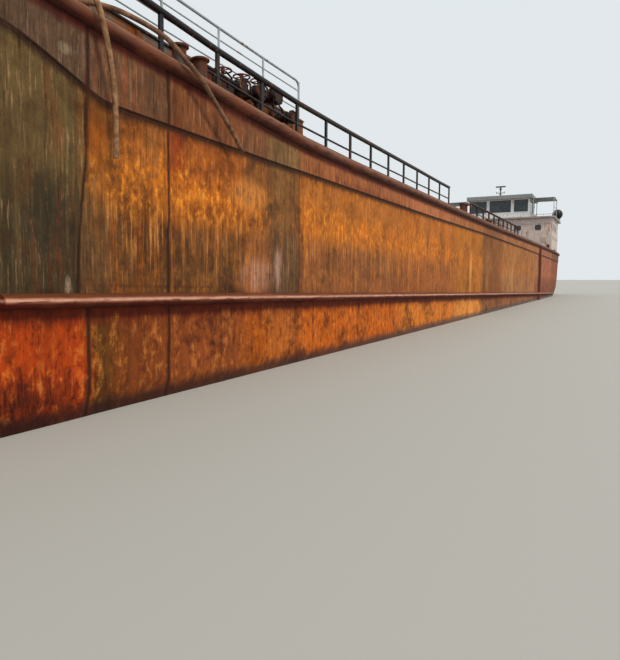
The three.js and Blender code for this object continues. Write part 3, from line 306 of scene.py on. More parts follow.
def hull_steel():
    """Ship plate, hot-rolled mild steel: the rust goes from orange under the lap to dull brown lower down, runs of gold
    and tan come down through it, scale is dark in laps and seams, painted shade lies under the lap and under the two
    bars, and a wet band at the water shines."""
    made, put = new_material("rusted_ship_plate")
    paint = colours()
    place = put(PLACE).outputs["Object"]
    split = put(SPLIT, place).outputs
    x, z = split["X"], split["Z"]
    above_lap, below_edge, seam = (put(kind).outputs["Fac"] for kind in (ABOVE_LAP, BELOW_EDGE, SEAM))
    patterns = []
    for wide, high, detail, roughness, distortion in PLATE_PATTERNS:
        stretched = put(MAPPING, Vector=place, Scale=[1000 / mm for mm in (wide, wide, high)])
        patterns.append(put(NOISE, stretched, 1.0, detail, roughness, Distortion=distortion))
    run, thin_run, column, broad, blotch, fleck, pits = patterns

    # Zones, with ragged borders
    ragged = put(TIMES_PLUS, blotch, 0.008, -0.004)
    where = put(PLUS, put(SPAN, x, -HALF_LENGTH, HALF_LENGTH), ragged)
    zone = Zone(0, 0, *(put(RAMP, where, stops=along_hull(key)) for key in Zone._fields[2:]))

    # The rust under the lap ends in a ragged fringe, below which it runs down in drips of every length
    fringe = put(TIMES_PLUS, blotch, 0.5, put(TIMES_PLUS, fleck, 0.35, 1.20))
    under = put(MINUS, z, fringe)
    bright = put(SPAN, under, -0.14, 0.12)
    reach = put(TIMES, put(SPAN, column, 0.44, 0.7), 0.6)
    drip = put(TIMES, put(SPAN, put(PLUS, under, reach), -0.14, 0.06), put(SPAN, column, 0.46, 0.58))
    side = put(BLEND, put(LARGER, bright, put(TIMES, drip, 0.7)), zone.deep, zone.high)

    # Brown scale comes through it, and shadows of old water stand in broad bands
    near_bow = put(SPAN, x, 10.0, 11.6, 0.45, 1.0)
    scaly = put(TIMES, put(SPAN, blotch, 0.5, 0.36, 0.0, 0.5), near_bow)
    shadow = put(TIMES, put(SPAN, broad, 0.5, 0.34, 0.0, 0.5), near_bow)

    # Pale and red runs between them
    bleached = put(TIMES, put(SPAN, thin_run, 0.54, 0.66), put(SPAN, blotch, 0.46, 0.58, 0.1, 0.5))
    red_run = put(TIMES, put(SPAN, run, 0.53, 0.62), put(SPAN, broad, 0.46, 0.56, 0.0, 0.5))
    red_run = put(TIMES, red_run, put(SPAN, x, 14.4, 14.0, 0.4, 1.0))
    for share, colour in ((scaly, "#4a2410"), (shadow, "#46301c"), (bleached, "#b48c64"), (red_run, "#86360c")):
        side = put(BLEND, share, side, linear(colour))

    # Golden rust in patches at the fringe, with bright flecks, and drips of it that dry to tan
    near = put(TIMES, put(SPAN, under, -0.16, 0.02), put(SPAN, under, 0.36, 0.12))
    lively = put(TIMES_PLUS, fleck, 0.6, put(TIMES, run, 0.4))
    patchy = put(TIMES_PLUS, blotch, 0.45, put(TIMES, lively, 0.55))
    orange = put(TIMES, put(SPAN, patchy, 0.42, 0.56), put(SPAN, near, 0.0, 1.0, 0.2, 1.0))
    side = put(BLEND, put(TIMES, orange, zone.gold), side, linear("#cc7014"))
    gold = put(TIMES, put(SPAN, lively, 0.52, 0.6), put(SPAN, near, 0.0, 1.0, 0.1, 0.9))
    side = put(BLEND, put(TIMES, gold, zone.gold), side, paint.gold)
    head = put(TIMES, drip, put(SPAN, under, 0.05, -0.04))
    head = put(TIMES, head, put(SPAN, thin_run, 0.46, 0.64))
    head = put(TIMES, head, put(SPAN, broad, 0.42, 0.56))
    head = put(TIMES, head, put(SPAN, zone.gold, 0.05, 0.8, 0.0, 0.8))
    fade = put(RAMP, put(SPAN, under, 0.0, -0.45), stops=[(0.0, paint.gold[:]), (0.5, paint.tan[:])])
    side = put(BLEND, head, side, fade)

    # The top row of plates, above the lap: duller, with fine runs, and a painted shadow in dark red below the bar at
    # its edge
    top = put(BLEND, put(TIMES, put(SPAN, run, 0.5, 0.36), 0.5), zone.top, linear("#3a2014"))
    top = put(BLEND, put(TIMES, put(SPAN, lively, 0.54, 0.66), 0.3), top, linear("#b47c50"))
    top = put(BLEND, put(TIMES, bleached, 0.8), top, linear("#a08066"))
    top = put(BLEND, red_run, top, linear("#7a3410"))
    # Painted shadow under the sheer bar, in dark red down from the deck edge
    reach = put(TIMES_PLUS, run, 0.12, 0.125)
    top = put(BLEND, put(TIMES, put(SPAN, below_edge, reach, 0.15), 0.85), top, linear("#48100a"))
    skin = put(BLEND, put(SPAN, above_lap, -0.004, 0.004), side, top)

    # Below the mid strake: dark scale, pale runs, and a painted shadow in dark red below the bar
    low = zone.low
    for pattern, start, full, strength, colour in (
        (blotch, 0.48, 0.36, 0.7, "#4a1804"),
        (fleck, 0.45, 0.35, 0.6, "#5a2408"),
        (lively, 0.52, 0.64, 0.5, "#d08438"),
    ):
        low = put(BLEND, put(TIMES, put(SPAN, pattern, start, full), strength), low, linear(colour))
    # Painted shadow under the mid strake, in dark red
    strake_shadow = put(MINUS, z, put(TIMES_PLUS, run, 0.22, STRAKE_LEVEL - 0.25))
    low = put(BLEND, put(TIMES, put(SPAN, strake_shadow, -0.03, 0.05), 0.92), low, linear("#5c1804"))
    skin = put(BLEND, put(SPAN, z, STRAKE_LEVEL + 0.01, STRAKE_LEVEL - 0.01), skin, low)

    # Marks of their own, with torn edges
    torn = put(TIMES_PLUS, fleck, 5.0, put(TIMES, run, 4.0))
    broken = put(SPAN, put(TIMES_PLUS, thin_run, 0.5, put(TIMES, fleck, 0.5)), 0.42, 0.54, 0.45, 1.0)
    for (mark_x, mark_z), (half_x, half_z), mark_colour, strength in MARKS:
        u = put(OVER, put(MINUS, x, mark_x), half_x)
        v = put(OVER, put(MINUS, z, mark_z), half_z)
        away = put(PLUS, put(PLUS, put(TIMES, u, u), put(TIMES, v, v)), torn)
        mark = put(TIMES, put(SPAN, away, 5.9, 4.5, 0.0, strength), broken)
        skin = put(BLEND, mark, skin, linear(mark_colour))

    # Oily runs over it all, and its speckle, clouds and streaks, each as shares of light from dark to pale
    oily = put(TIMES, put(SPAN, thin_run, 0.42, 0.32), put(SPAN, run, 0.4, 0.6, 0.25, 0.8))
    skin = put(BLEND, oily, skin, paint.oil)
    streaks = put(TIMES_PLUS, column, 0.6, put(TIMES, blotch, 0.4))
    for pattern, strength, shares in (
        (pits, 0.6, ((0.3, 0.6), (0.5, 1.0), (0.68, 1.2))),
        (fleck, 0.7, ((0.32, 0.62), (0.5, 1.0), (0.68, 1.25))),
        (streaks, 0.8, ((0.36, 0.6), (0.5, 1.02), (0.64, 1.4))),
    ):
        skin = put(DARKEN, strength, skin, put(RAMP, pattern, stops=[(stop, grey(light)) for stop, light in shares]))

    # Dark scale in the lap and in the seams, and painted shade in a band under the lap
    depth = put(TIMES, above_lap, -1.0)
    shade_width = put(TIMES_PLUS, run, 0.14, 0.0)
    joint_scale_and_shade = put(TIMES, put(SPAN, depth, shade_width, 0.022), put(SPAN, depth, -0.016, -0.004))
    joint_scale_and_shade = put(TIMES, joint_scale_and_shade, put(SPAN, fleck, 0.3, 0.5, 0.7, 0.92))
    joint_scale_and_shade = put(LARGER, joint_scale_and_shade, put(SPAN, put(TIMES, seam, pits), 0.1, 0.34, 0.0, 0.75))
    leaning = put(LARGER, put(MINUS, 2.2, z), 0.0)
    leaning = put(TIMES, leaning, put(SPAN, z, STRAKE_LEVEL, STRAKE_LEVEL + 0.02, 0.2, 1.0))
    wander = put(TIMES_PLUS, broad, 0.12, put(TIMES_PLUS, blotch, 0.05, -0.085))
    for seam_x, lean, width in WEEPING_SEAMS:
        off = put(MINUS, put(MINUS, x, seam_x), put(TIMES, leaning, lean))
        off = put(SIZE, put(PLUS, off, wander))
        ragged_width = put(TIMES_PLUS, run, width * 3.4, -width * 0.8)
        line = put(TIMES, put(SPAN, put(OVER, off, ragged_width), 1.7, 0.5), put(SPAN, fleck, 0.3, 0.5, 0.55, 0.9))
        joint_scale_and_shade = put(LARGER, joint_scale_and_shade, line)
    skin = put(BLEND, joint_scale_and_shade, skin, paint.scale)

    # The wet band, where the water stood and stands
    level = put(TIMES_PLUS, x, sizes().trim, put(MINUS, z, sizes().water_amidships))
    wet = put(SPAN, put(MINUS, level, put(TIMES, run, 0.16)), 0.05, -0.03)
    skin = put(BLEND, put(TIMES, wet, 0.85), skin, paint.wet)

    rough = put(BETWEEN, wet, put(SPAN, pits, 0.3, 0.7, 0.65, 0.92), 0.35)
    height = put(TIMES_PLUS, bright, 0.25, put(TIMES_PLUS, fleck, 0.9, put(TIMES, pits, 0.6)))
    height = put(TIMES_PLUS, joint_scale_and_shade, -1.2, height)
    bump = put(BUMP, Height=height, Strength=0.6, Distance=0.006)
    put(SURFACE, put(SHADER, Base_Color=skin, Roughness=rough, Specular_IOR_Level=0.2, Normal=bump))
    return made


# Tones of the half-round bars from their lower edge to their upper edge: rust colours with painted shade on the lower
# half and a painted highlight towards the crown
SHEER_BAR_RUST_AND_LIGHT = [
    *((0.0, "#260802"), (0.28, "#461406"), (0.42, "#62341e"), (0.58, "#74462e")),
    *((0.74, "#7e5640"), (0.88, "#866350"), (1.0, "#7a5a46")),
]
STRAKE_RUST_AND_LIGHT = [
    *((0.0, "#380800"), (0.38, "#5a1202"), (0.45, "#8a4a32"), (0.53, "#d0a088")),
    *((0.6, "#b07a62"), (0.67, "#643014"), (1.0, "#583012")),
]


def bar_steel(name, tones):
    """Half-round mild-steel rubbing bar, dark red with rust and scale: its tones paint a highlight along the crown and
    shade over the lower half.
    Its scuffs are 160 mm long and 25 mm wide. Its pits are a tenth of the 20 mm at which they are drawn, to show."""
    made, put = new_material(name)
    place = put(PLACE).outputs["Object"]
    tone = put(NOISE, Vector=place, Scale=1000 / 625, Detail=7.0, Roughness=0.7)
    scuffs = put(MAPPING, Vector=place, Scale=[1000 / mm for mm in (160, 25, 25)])
    scuff = put(NOISE, Vector=scuffs, Scale=1.0, Detail=6.0, Roughness=0.68)
    rise = put(TIMES_PLUS, scuff, 0.16, put(MINUS, put(RISE).outputs["Fac"], 0.08))
    # Painted highlight on the crown and painted shade on the lower half, from the tones
    skin = put(RAMP, rise, stops=[(stop, linear(colour)) for stop, colour in tones])
    skin = put(BLEND, put(TIMES, put(SPAN, tone, 0.5, 0.62), 0.45), skin, linear("#7a3c1c"))
    skin = put(BLEND, put(TIMES, put(SPAN, scuff, 0.46, 0.36), 0.6), skin, linear("#3e1a0e"))
    rough = put(SPAN, scuff, 0.35, 0.65, 0.85, 0.5)
    pits = put(NOISE, Vector=place, Scale=1000 / 20, Detail=4.0)
    bump = put(BUMP, Height=pits, Strength=0.5, Distance=0.004)
    steel = {"Base_Color": skin, "Metallic": 0.1, "Roughness": rough, "Specular_IOR_Level": 0.3, "Normal": bump}
    put(SURFACE, put(SHADER, **steel))
    return made


def hose_rubber(name, *tones):
    """Extruded rubber hose with dried mud on it, in splashes 50 mm wide: its surface is dull, and its mandrel marks are
    faint. The tones go from dark to pale."""
    made, put = new_material(name)
    mud = put(NOISE, Vector=put(PLACE).outputs["Object"], Scale=1000 / 50, Detail=6.0, Roughness=0.7)
    skin = put(RAMP, mud, stops=[(stop, linear(tone)) for stop, tone in zip((0.3, 0.5, 0.7), tones)])
    bump = put(BUMP, Height=mud, Strength=0.3, Distance=0.002)
    put(SURFACE, put(SHADER, Base_Color=skin, Roughness=0.75, Specular_IOR_Level=0.3, Normal=bump))
    return made


def spread(start, end, steps):
    """Values at an even spacing from start to end, both among them."""
    return [start + (end - start) * k / steps for k in range(steps + 1)]


def angles(count, start=0.0):
    """Angles at an even spacing round a circle."""
    return [2 * pi * (k + start) / count for k in range(count)]


def circle(u, v, count, start=0.0):
    """The ways out from the middle of a circle that u and v span."""
    return [u * cos(turn) + v * sin(turn) for turn in angles(count, start)]


def level_rectangle(x_span, y_span, z):
    """The corners of a rectangle that lies level."""
    (x0, x1), (y0, y1) = x_span, y_span
    return [(x0, y0, z), (x1, y0, z), (x1, y1, z), (x0, y1, z)]


def rounded_rectangle(half, corner, steps=4):
    """Points of a rectangle with round corners, each with the way out of it there."""
    a, b = half[0] - corner, half[1] - corner
    outline = []
    for (u, v), start in (((a, b), 0), ((-a, b), 90), ((-a, -b), 180), ((a, -b), 270)):
        for turn in spread(start, start + 90, steps):
            way = (cos(radians(turn)), sin(radians(turn)))
            outline.append(((u + corner * way[0], v + corner * way[1]), way))
    return outline


class Shape:
    """Gathers simple forms into the mesh of one piece."""

    def __init__(self):
        self.points = []
        self.faces = []
        self.values = {}

    def ring_strip(self, rings, looped=False):
        """Joins closed rings of equal count by quads, and closes the two ends or joins them."""
        start = len(self.points)
        count = len(rings[0])
        total = len(rings) * count
        for ring in rings:
            self.points.extend(Vector(p) for p in ring)
        for r in range(len(rings) if looped else len(rings) - 1):
            for i in range(count):
                a, b = r * count + i, r * count + (i + 1) % count
                corners = (a, b, (b + count) % total, (a + count) % total)
                self.faces.append(tuple(start + c for c in corners))
        if not looped:
            self.faces.append(tuple(start + i for i in reversed(range(count))))
            self.faces.append(tuple(start + (len(rings) - 1) * count + i for i in range(count)))
        return self

    def box(self, low, high):
        """A box from its low to its high corner."""
        spans = (low[0], high[0]), (low[1], high[1])
        return self.ring_strip([level_rectangle(*spans, z) for z in (low[2], high[2])])

    def pipe(self, points, radius, sides):
        """A round bar or pipe along points. radius is one value, or one for each point."""
        points = [Vector(p) for p in points]
        radii = radius if isinstance(radius, (list, tuple)) else [radius] * len(points)
        rings = []
        across = None
        for i, point in enumerate(points):
            before = (point - points[i - 1]).normalized() if i else None
            after = (points[i + 1] - point).normalized() if i + 1 < len(points) else None
            way = ((before or after) + (after or before)).normalized()
            if across is None:
                across = way.orthogonal().normalized()
            across = (across - way * across.dot(way)).normalized()
            other = way.cross(across)
            stretch = 1 / max(0.5, way.dot(after or before))
            rings.append([point + out * radii[i] * stretch for out in circle(across, other, sides)])
        return self.ring_strip(rings)

    def turned(self, foot, way, profile, sides):
        """A turned form: profile is a list of (distance along way from foot, radius)."""
        foot, way = Vector(foot), Vector(way).normalized()
        across = way.orthogonal().normalized()
        outs = circle(across, way.cross(across), sides)
        return self.ring_strip([[foot + way * height + out * radius for out in outs] for height, radius in profile])

    def hoop(self, centre, axis, across, radius, turns, sides):
        """A round bar bent into a ring about an axis."""
        centre, axis = Vector(centre), Vector(axis).normalized()
        u = axis.orthogonal().normalized()
        rings = []
        for out in circle(u, axis.cross(u), turns):
            lean = [(radius * cos(bend), radius * sin(bend)) for bend in angles(sides)]
            rings.append([centre + out * (across + a) + axis * b for a, b in lean])
        return self.ring_strip(rings, looped=True)

    def around(self, centre, axis, distance, count):
        """Points at an even spacing on a circle about an axis."""
        centre, axis = Vector(centre), Vector(axis).normalized()
        u = axis.orthogonal().normalized()
        return [centre + out * distance for out in circle(u, axis.cross(u), count, 0.5)]

    def flange(self, foot, way, radius, thick, bolts=8):
        """A pipe flange with its bolts through it."""
        foot, way = Vector(foot), Vector(way).normalized()
        edge = thick * 0.15
        rim = [(0, radius - edge), (edge, radius), (thick - edge, radius), (thick, radius - edge)]
        self.turned(foot, way, rim, 28)
        for spot in self.around(foot, way, radius * 0.82, bolts):
            self.turned(spot - way * thick * 0.6, way, [(0, radius * 0.1), (thick * 2.2, radius * 0.1)], 6)
        return self

    def handwheel(self, centre, axis, across, bar=0.009, spokes=4):
        """A valve's handwheel with its hub and spokes."""
        centre, axis = Vector(centre), Vector(axis).normalized()
        self.hoop(centre, axis, across, bar, 24, 8)
        self.turned(centre - axis * bar * 2, axis, [(0, bar * 2.2), (bar * 4, bar * 2.2)], 12)
        for spot in self.around(centre, axis, across, spokes):
            self.pipe([centre, spot], bar * 0.7, 6)
        return self

    def chain(self, start, end):
        """A taut chain: each link is turned a quarter against the one before it."""
        link, bar = 0.05, 0.007  # length of a link, and radius of its bar
        run = end - start
        way = run.normalized()
        side = way.orthogonal().normalized()
        count = max(2, round(run.length / (link * 0.72)))
        for k in range(count):
            across = side if k % 2 else way.cross(side)
            middle = start + run * (k + 0.5) / count
            oval = []
            for turn in angles(12):
                offset = way * cos(turn) * link * 0.5 + across * sin(turn) * link * 0.32
                bends = circle(offset.normalized(), way.cross(across), 6)
                oval.append([middle + offset + bend * bar for bend in bends])
            self.ring_strip(oval, looped=True)
        return self

    def rim(self, centre, right, half, width, depth, corner):
        """A frame with rounded corners round an opening. half is its half width and half height inside."""
        centre = Vector(centre)
        out = right.cross(UP)
        rings = []
        for (a, b), (u, v) in rounded_rectangle(half, corner):
            spot = centre + right * a + UP * b
            away = right * u + UP * v
            section = [(0.0, 0.0), (0.0, depth * 0.7), (width * 0.3, depth), (width, depth), (width, 0.0)]
            rings.append([spot + away * w + out * d for w, d in section])
        return self.ring_strip(rings, looped=True)

    def plate(self, centre, right, half, thick, corner):
        """A flat upright plate with rounded corners, thick outward from its centre."""
        centre = Vector(centre)
        out = right.cross(UP)
        outline = [centre + right * a + UP * b for (a, b), _ in rounded_rectangle(half, corner)]
        return self.ring_strip([[p + out * d for p in outline] for d in (0.0, thick)])

    def mirrored(self):
        """The same form on the other side of the ship."""
        other = Shape()
        other.points = [Vector((p.x, -p.y, p.z)) for p in self.points]
        other.faces = [tuple(reversed(f)) for f in self.faces]
        other.values = {name: list(values) for name, values in self.values.items()}
        return other

    def make(self, name, material, body=ROOT, slot=None, replaces=(), smooth=40.0):
        """Turns what was gathered into a piece that rides on a body."""
        mesh = bpy.data.meshes.new(name)
        mesh.from_pydata([tuple(p) for p in self.points], [], self.faces)
        for value_name, values in self.values.items():
            mesh.attributes.new(value_name, "FLOAT", "POINT").data.foreach_set("value", values)
        mesh.validate()
        mesh.update()
        mesh.shade_smooth()
        mesh.set_sharp_from_angle(angle=radians(smooth))
        piece = bpy.data.objects.new(name, mesh)
        bpy.context.scene.collection.objects.link(piece)
        mesh.materials.append(material)
        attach(piece, body)
        if replaces:
            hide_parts(*replaces)
        return piece


def surface_of(node):
    """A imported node's faces, for finding where it lies."""
    mesh = NODES[node].data
    return BVHTree.FromPolygons([v.co for v in mesh.vertices], [p.vertices for p in mesh.polygons])


FAR = 30.0  # outside the ship, where a look at its surface starts
HULL_SURFACE = surface_of("hull")
DECK_SURFACE = surface_of("main_deck")
HULL_ENDS = (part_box("hull")[0].x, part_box("hull")[1].x)


def inside_ends(x):
    """x kept a hair inside the hull's ends, so that a look straight at it meets the hull."""
    return min(max(x, HULL_ENDS[0] + 0.0005), HULL_ENDS[1] - 0.0005)


def hull_top(x):
    return HULL_SURFACE.ray_cast(Vector((inside_ends(x), 0.01, FAR)), -UP)[0].z


def hull_bottom(x):
    return HULL_SURFACE.ray_cast(Vector((inside_ends(x), 0.01, -FAR)), UP)[0].z


def hull_half(x, z):
    """Half the hull's breadth at x and z."""
    hit = HULL_SURFACE.ray_cast(Vector((inside_ends(x), FAR, z)), -PORT)[0]
    return hit.y if hit else 0.0


def eased(rows, reach):
    """Rows of points smoothed along the ship. The first and last rows stay, and straight stretches don't change."""
    out = []
    for i, row in enumerate(rows):
        span = min(reach, i, len(rows) - 1 - i)
        weights = [1 - abs(k) / (span + 1) for k in range(-span, span + 1)]
        total, near = sum(weights), rows[i - span : i + span + 1]
        mean = lambda j, axis: sum(w * r[j][axis] for w, r in zip(weights, near)) / total
        out.append([(mean(j, 0), mean(j, 1)) for j in range(len(row))])
    return out


# Rows of points over each part of the plating, from the deck edge to the middle of the bottom
LAP_ROWS, SIDE_ROWS, LOW_ROWS, BILGE_ROWS, BOTTOM_ROWS = 7, 20, 8, 6, 3
LAP_STEP = 0.006  # half the height over which the lap steps in
BILGE = 0.4  # how far the round of the bilge reaches up and in


def ring_heights(x):
    """Heights of the side's points at x, from the deck edge to the top of the bilge."""
    top, bottom = hull_top(x) - 0.0005, hull_bottom(x)
    lap = min(lap_height(x), top - 0.12)
    bilge = min(bottom + BILGE, lap - 0.15)
    middle = min(max(STRAKE_LEVEL, bilge + 0.1), lap - 0.08)
    spans = [(top, lap + LAP_STEP, LAP_ROWS), (lap + LAP_STEP, lap - LAP_STEP, 1), (lap - LAP_STEP, middle, SIDE_ROWS)]
    spans.append((middle, bilge, LOW_ROWS))
    heights = [top]
    for start, end, steps in spans:
        heights += spread(start, end, steps)[1:]
    return heights


def hull_ring(x):
    """Points (y, z) of the hull's port half at x, from the deck edge to the centreline of the bottom."""
    heights = ring_heights(x)
    ring = [(hull_half(x, z), z) for z in heights]
    y, z = ring[-1]
    bottom = hull_bottom(x)
    inner = Vector((inside_ends(x), max(y - BILGE, 0.05), z))
    for k in range(1, BILGE_ROWS + 1):
        turn = pi / 2 * k / BILGE_ROWS
        way = Vector((0, cos(turn), -sin(turn)))
        hit = HULL_SURFACE.ray_cast(inner + way * FAR, -way)[0]
        ring.append((hit.y, hit.z) if hit and hit.z >= bottom - 0.01 else (inner.y, bottom))
    edge = ring[-1][0]
    ring += [(edge * (1 - k / BOTTOM_ROWS), bottom) for k in range(1, BOTTOM_ROWS + 1)]
    return ring


SEAM_HALF = 0.011  # half the width of a seam
SEAM_DEPTH = 0.006


def hull_columns():
    """Places along the ship where the plating has points: even steps, and close pairs at each seam."""
    step = sizes().grid
    near_end = 8.0
    places = []
    x = HULL_ENDS[0]
    while x < HULL_ENDS[1] - step * 0.6:
        places.append(x)
        x += step if x > near_end else step * 1.6
    places.append(HULL_ENDS[1])
    kept = [p for p in places if all(abs(p - s) > SEAM_HALF * 1.6 for s in SEAMS)]
    for seam in SEAMS:
        kept += [seam - SEAM_HALF, seam - SEAM_HALF * 0.35, seam + SEAM_HALF * 0.35, seam + SEAM_HALF]
    return sorted(kept)


def plating_offset(x, z, side, top):
    """How far the plating stands out from its fair line at a point, and how deep in a seam the point is."""
    lap = lap_height(x)
    place = Vector((x * 0.55, side * 5.0, z * 0.9))
    dent = min(0.0, noise.noise(place) + 0.12) * sizes().dent_depth * 1.6
    ripple = noise.noise(Vector((x * 2.3, side * 3.0, z * 1.7))) * 0.0035
    frames = -0.0022 * (0.5 - 0.5 * cos(2 * pi * x / 0.275)) * (0.4 + noise.noise(place * 2.1))
    out = dent + ripple + frames
    if z > lap:
        out += 0.009
    if x > WEEPING_SEAMS[0][0]:
        out += 0.004
    seam = 0.0
    for place_x in SEAMS:
        near = 1 - abs(x - place_x) / SEAM_HALF
        if near > 0:
            seam = near**0.5 * 0.55
    out -= seam * SEAM_DEPTH
    ease = min(1.0, (top - z) / 0.08, z / 0.3)
    return out * max(0.0, ease), seam


@cache
def fair_rings():
    """The hull's smoothed rings: a list of places along the ship, and of the (y, z) points at each."""
    places = hull_columns()
    rows = [hull_ring(x) for x in places]
    for i in range(1, len(rows) - 1):
        for j in range(len(rows[i])):
            mean = (rows[i - 1][j][0] + rows[i + 1][j][0]) / 2
            if abs(rows[i][j][0] - mean) > 0.03:
                rows[i][j] = (mean, (rows[i - 1][j][1] + rows[i + 1][j][1]) / 2)
    return places, eased(rows, 5)


def deck_outline():
    """The fair deck edge on the port side, from the middle of the stem to the middle of the transom."""
    places, rows = fair_rings()
    edge = [Vector((x, row[0][0], hull_top(x))) for x, row in zip(places, rows)]
    ends = ((edge[-1], 4), (edge[0], 6))
    stem, transom = ([Vector((end.x, end.y * k / parts, end.z)) for k in range(parts)] for end, parts in ends)
    return stem + edge[::-1] + transom[::-1]


def hull_plating():
    places, rows = fair_rings()
    shape = Shape()
    above, seams, edges = [], [], []
    rings = []
    for x, row in zip(places, rows):
        top = row[0][1]
        sides = {}
        for side in (1, -1):
            points = []
            for j, (y, z) in enumerate(row):
                out, seam = plating_offset(x, z, side, top)
                if abs(x) > HULL_ENDS[1] - 0.01:
                    out = 0.0
                before, after = row[max(j - 1, 0)], row[min(j + 1, len(row) - 1)]
                normal = Vector((before[1] - after[1], after[0] - before[0])).normalized()
                points.append(((x, side * (y + out * abs(normal.x)), z - out * abs(normal.y)), z, seam))
            sides[side] = points
        whole = sides[1] + list(reversed(sides[-1][:-1]))
        rings.append([p[0] for p in whole])
        lap = min(lap_height(x), top - 0.12)
        above += [p[1] - lap for p in whole]
        seams += [p[2] for p in whole]
        edges += [top - p[1] for p in whole]
    shape.ring_strip(rings)
    shape.values = {"above_lap": above, "seam": seams, "below_edge": edges}
    return shape.make("hull_plating", hull_steel(), slot="hull_steel", replaces=["hull"], smooth=32)


ROUND_STEPS = 10  # steps over the arc of a half-round bar
FENDER_X = -9.15  # place of the standing fenders along the ship


def half_round(path, proud, height, side, waver):
    """A half-round bar welded along a path at the ship's side, with the dents of its years alongside."""
    shape = Shape()
    rise = []
    rings = []
    for i, point in enumerate(path):
        before = path[max(i - 1, 0)]
        after = path[min(i + 1, len(path) - 1)]
        run = Vector((after.x - before.x, after.y - before.y, 0)).normalized()
        out = Vector((run.y, -run.x, 0))
        if out.dot(Vector((point.x, point.y * 4, 0))) < 0:
            out = -out
        dent = noise.noise(Vector((point.x * 0.9, side * 3.1, point.z)))
        flat = 1 - waver * max(0.0, dent)
        lift = 0.006 * noise.noise(Vector((point.x * 0.6, side * 9.0, 4.0)))
        ring = []
        for share in spread(0, 1, ROUND_STEPS):
            turn = (share - 0.5) * pi
            reach = proud * cos(turn) * (flat if cos(turn) > 0.5 else 1.0)
            ring.append(point + out * reach + UP * (height / 2 * sin(turn) + lift))
            rise.append(share)
        rings.append([Vector((p.x, side * p.y, p.z)) for p in ring])
    shape.ring_strip(rings)
    shape.values = {"rise": rise}
    return shape


def add_fender(shape, side, low, high):
    """A flat bar that stands against the plating under or over the mid strake."""
    half, inner, outer, corner = 0.045, 2.694, 2.77, 0.012
    profile = [
        (FENDER_X - half, inner),
        (FENDER_X - half, outer - corner),
        (FENDER_X - half + corner, outer),
        (FENDER_X + half - corner, outer),
        (FENDER_X + half, outer - corner),
        (FENDER_X + half, inner),
    ]
    count = len(shape.points)
    shape.ring_strip([[(x, side * y, z) for x, y in profile] for z in (low, (low + high) / 2, high)])
    shape.values["rise"] += [0.42] * (len(shape.points) - count)
    return shape


class TANKER_OT_stage(bpy.types.Operator):
    """Plain floor at the waterline, soft light and the camera"""

    bl_idname = "tanker.stage"
    bl_label = "Stage"

    def execute(self, context):
        scene = context.scene
        trim = sizes().trim
        up = Vector((sin(trim), 0, cos(trim)))
        aft = Vector((-cos(trim), 0, sin(trim)))

        floor_half = 400.0
        middle = Vector((0, 0, sizes().water_amidships))
        ways = ((1, 1), (1, -1), (-1, -1), (-1, 1))
        corners = [middle - aft * floor_half * a - PORT * floor_half * b for a, b in ways]
        mesh = bpy.data.meshes.new("floor")
        mesh.from_pydata([tuple(c) for c in corners], [], [(3, 2, 1, 0)])
        floor = bpy.data.objects.new("floor", mesh)
        scene.collection.objects.link(floor)
        # The stage's floor, matt so that nothing mirrors in it
        mesh.materials.append(even_finish("plain_floor", colours().floor, 0.85))

        # Eye height above the water and distance from the ship's side, as a person in a small boat
        eye = Vector((16.75, 5.6, 0))
        eye.z = sizes().water_amidships - tan(trim) * eye.x + 0.86
        yaw = radians(27.2)
        dip = radians(4.9)
        level = aft * cos(yaw) - PORT * sin(yaw)
        right = level.cross(up)
        look = level * cos(dip) - up * sin(dip)
        top = right.cross(look)
        camera_data = bpy.data.cameras.new("camera")
        camera_data.sensor_fit = "VERTICAL"
        camera_data.sensor_height = 36.0
        focal_px, frame_px = 600.0, 660.0
        camera_data.lens = camera_data.sensor_height * focal_px / frame_px
        camera_data.clip_start = 0.05
        camera_data.clip_end = 2000.0
        camera = bpy.data.objects.new("camera", camera_data)
        camera.matrix_world = Matrix.LocRotScale(eye, Matrix((right, top, -look)).transposed(), None)
        scene.collection.objects.link(camera)
        scene.camera = camera

        sun_data = bpy.data.lights.new("soft_sun", "SUN")
        sun_data.energy = 2.1
        sun_data.angle = radians(9)
        sun_data.color = linear("#fff1dd")[:3]
        sun = bpy.data.objects.new("soft_sun", sun_data)
        toward = Vector((0.35, 0.75, 1.0)).normalized()
        sun.rotation_euler = toward.to_track_quat("Z", "Y").to_euler()
        scene.collection.objects.link(sun)

        world = bpy.data.worlds.new("soft_light")
        scene.world = world
        world.use_nodes = True
        sky = world.node_tree.nodes["Background"]
        sky.inputs["Color"].default_value = colours().backdrop
        sky.inputs["Strength"].default_value = 1.0
        scene.view_settings.view_transform = "Standard"
        scene.view_settings.look = "None"
        return {"FINISHED"}


# The hanging hoses' routes: out of the stub, over the sheer bar and down the side
HOSE_ROUTES = {
    "hanging_hose_fore": [
        *((14.15, 2.3205, 2.915), (14.15, 2.4, 2.916), (14.142, 2.52, 2.914), (14.122, 2.64, 2.886)),
        *((14.098, 2.738, 2.824), (14.072, 2.79, 2.739), (14.038, 2.804, 2.627), (13.998, 2.804, 2.491)),
        *((13.96, 2.799, 2.339), (13.937, 2.792, 2.191), (13.927, 2.785, 2.025), (13.921, 2.778, 1.856)),
    ],
    "hanging_hose_aft": [
        *((13.9, 2.3205, 2.88), (13.9, 2.4, 2.882), (13.835, 2.485, 2.888), (13.69, 2.565, 2.886)),
        *((13.535, 2.63, 2.86), (13.42, 2.685, 2.822), (13.35, 2.743, 2.764), (13.25, 2.788, 2.674)),
        *((13.088, 2.803, 2.588), (12.955, 2.804, 2.491), (12.808, 2.802, 2.388), (12.659, 2.798, 2.28)),
        (12.53, 2.794, 2.175),
    ],
}


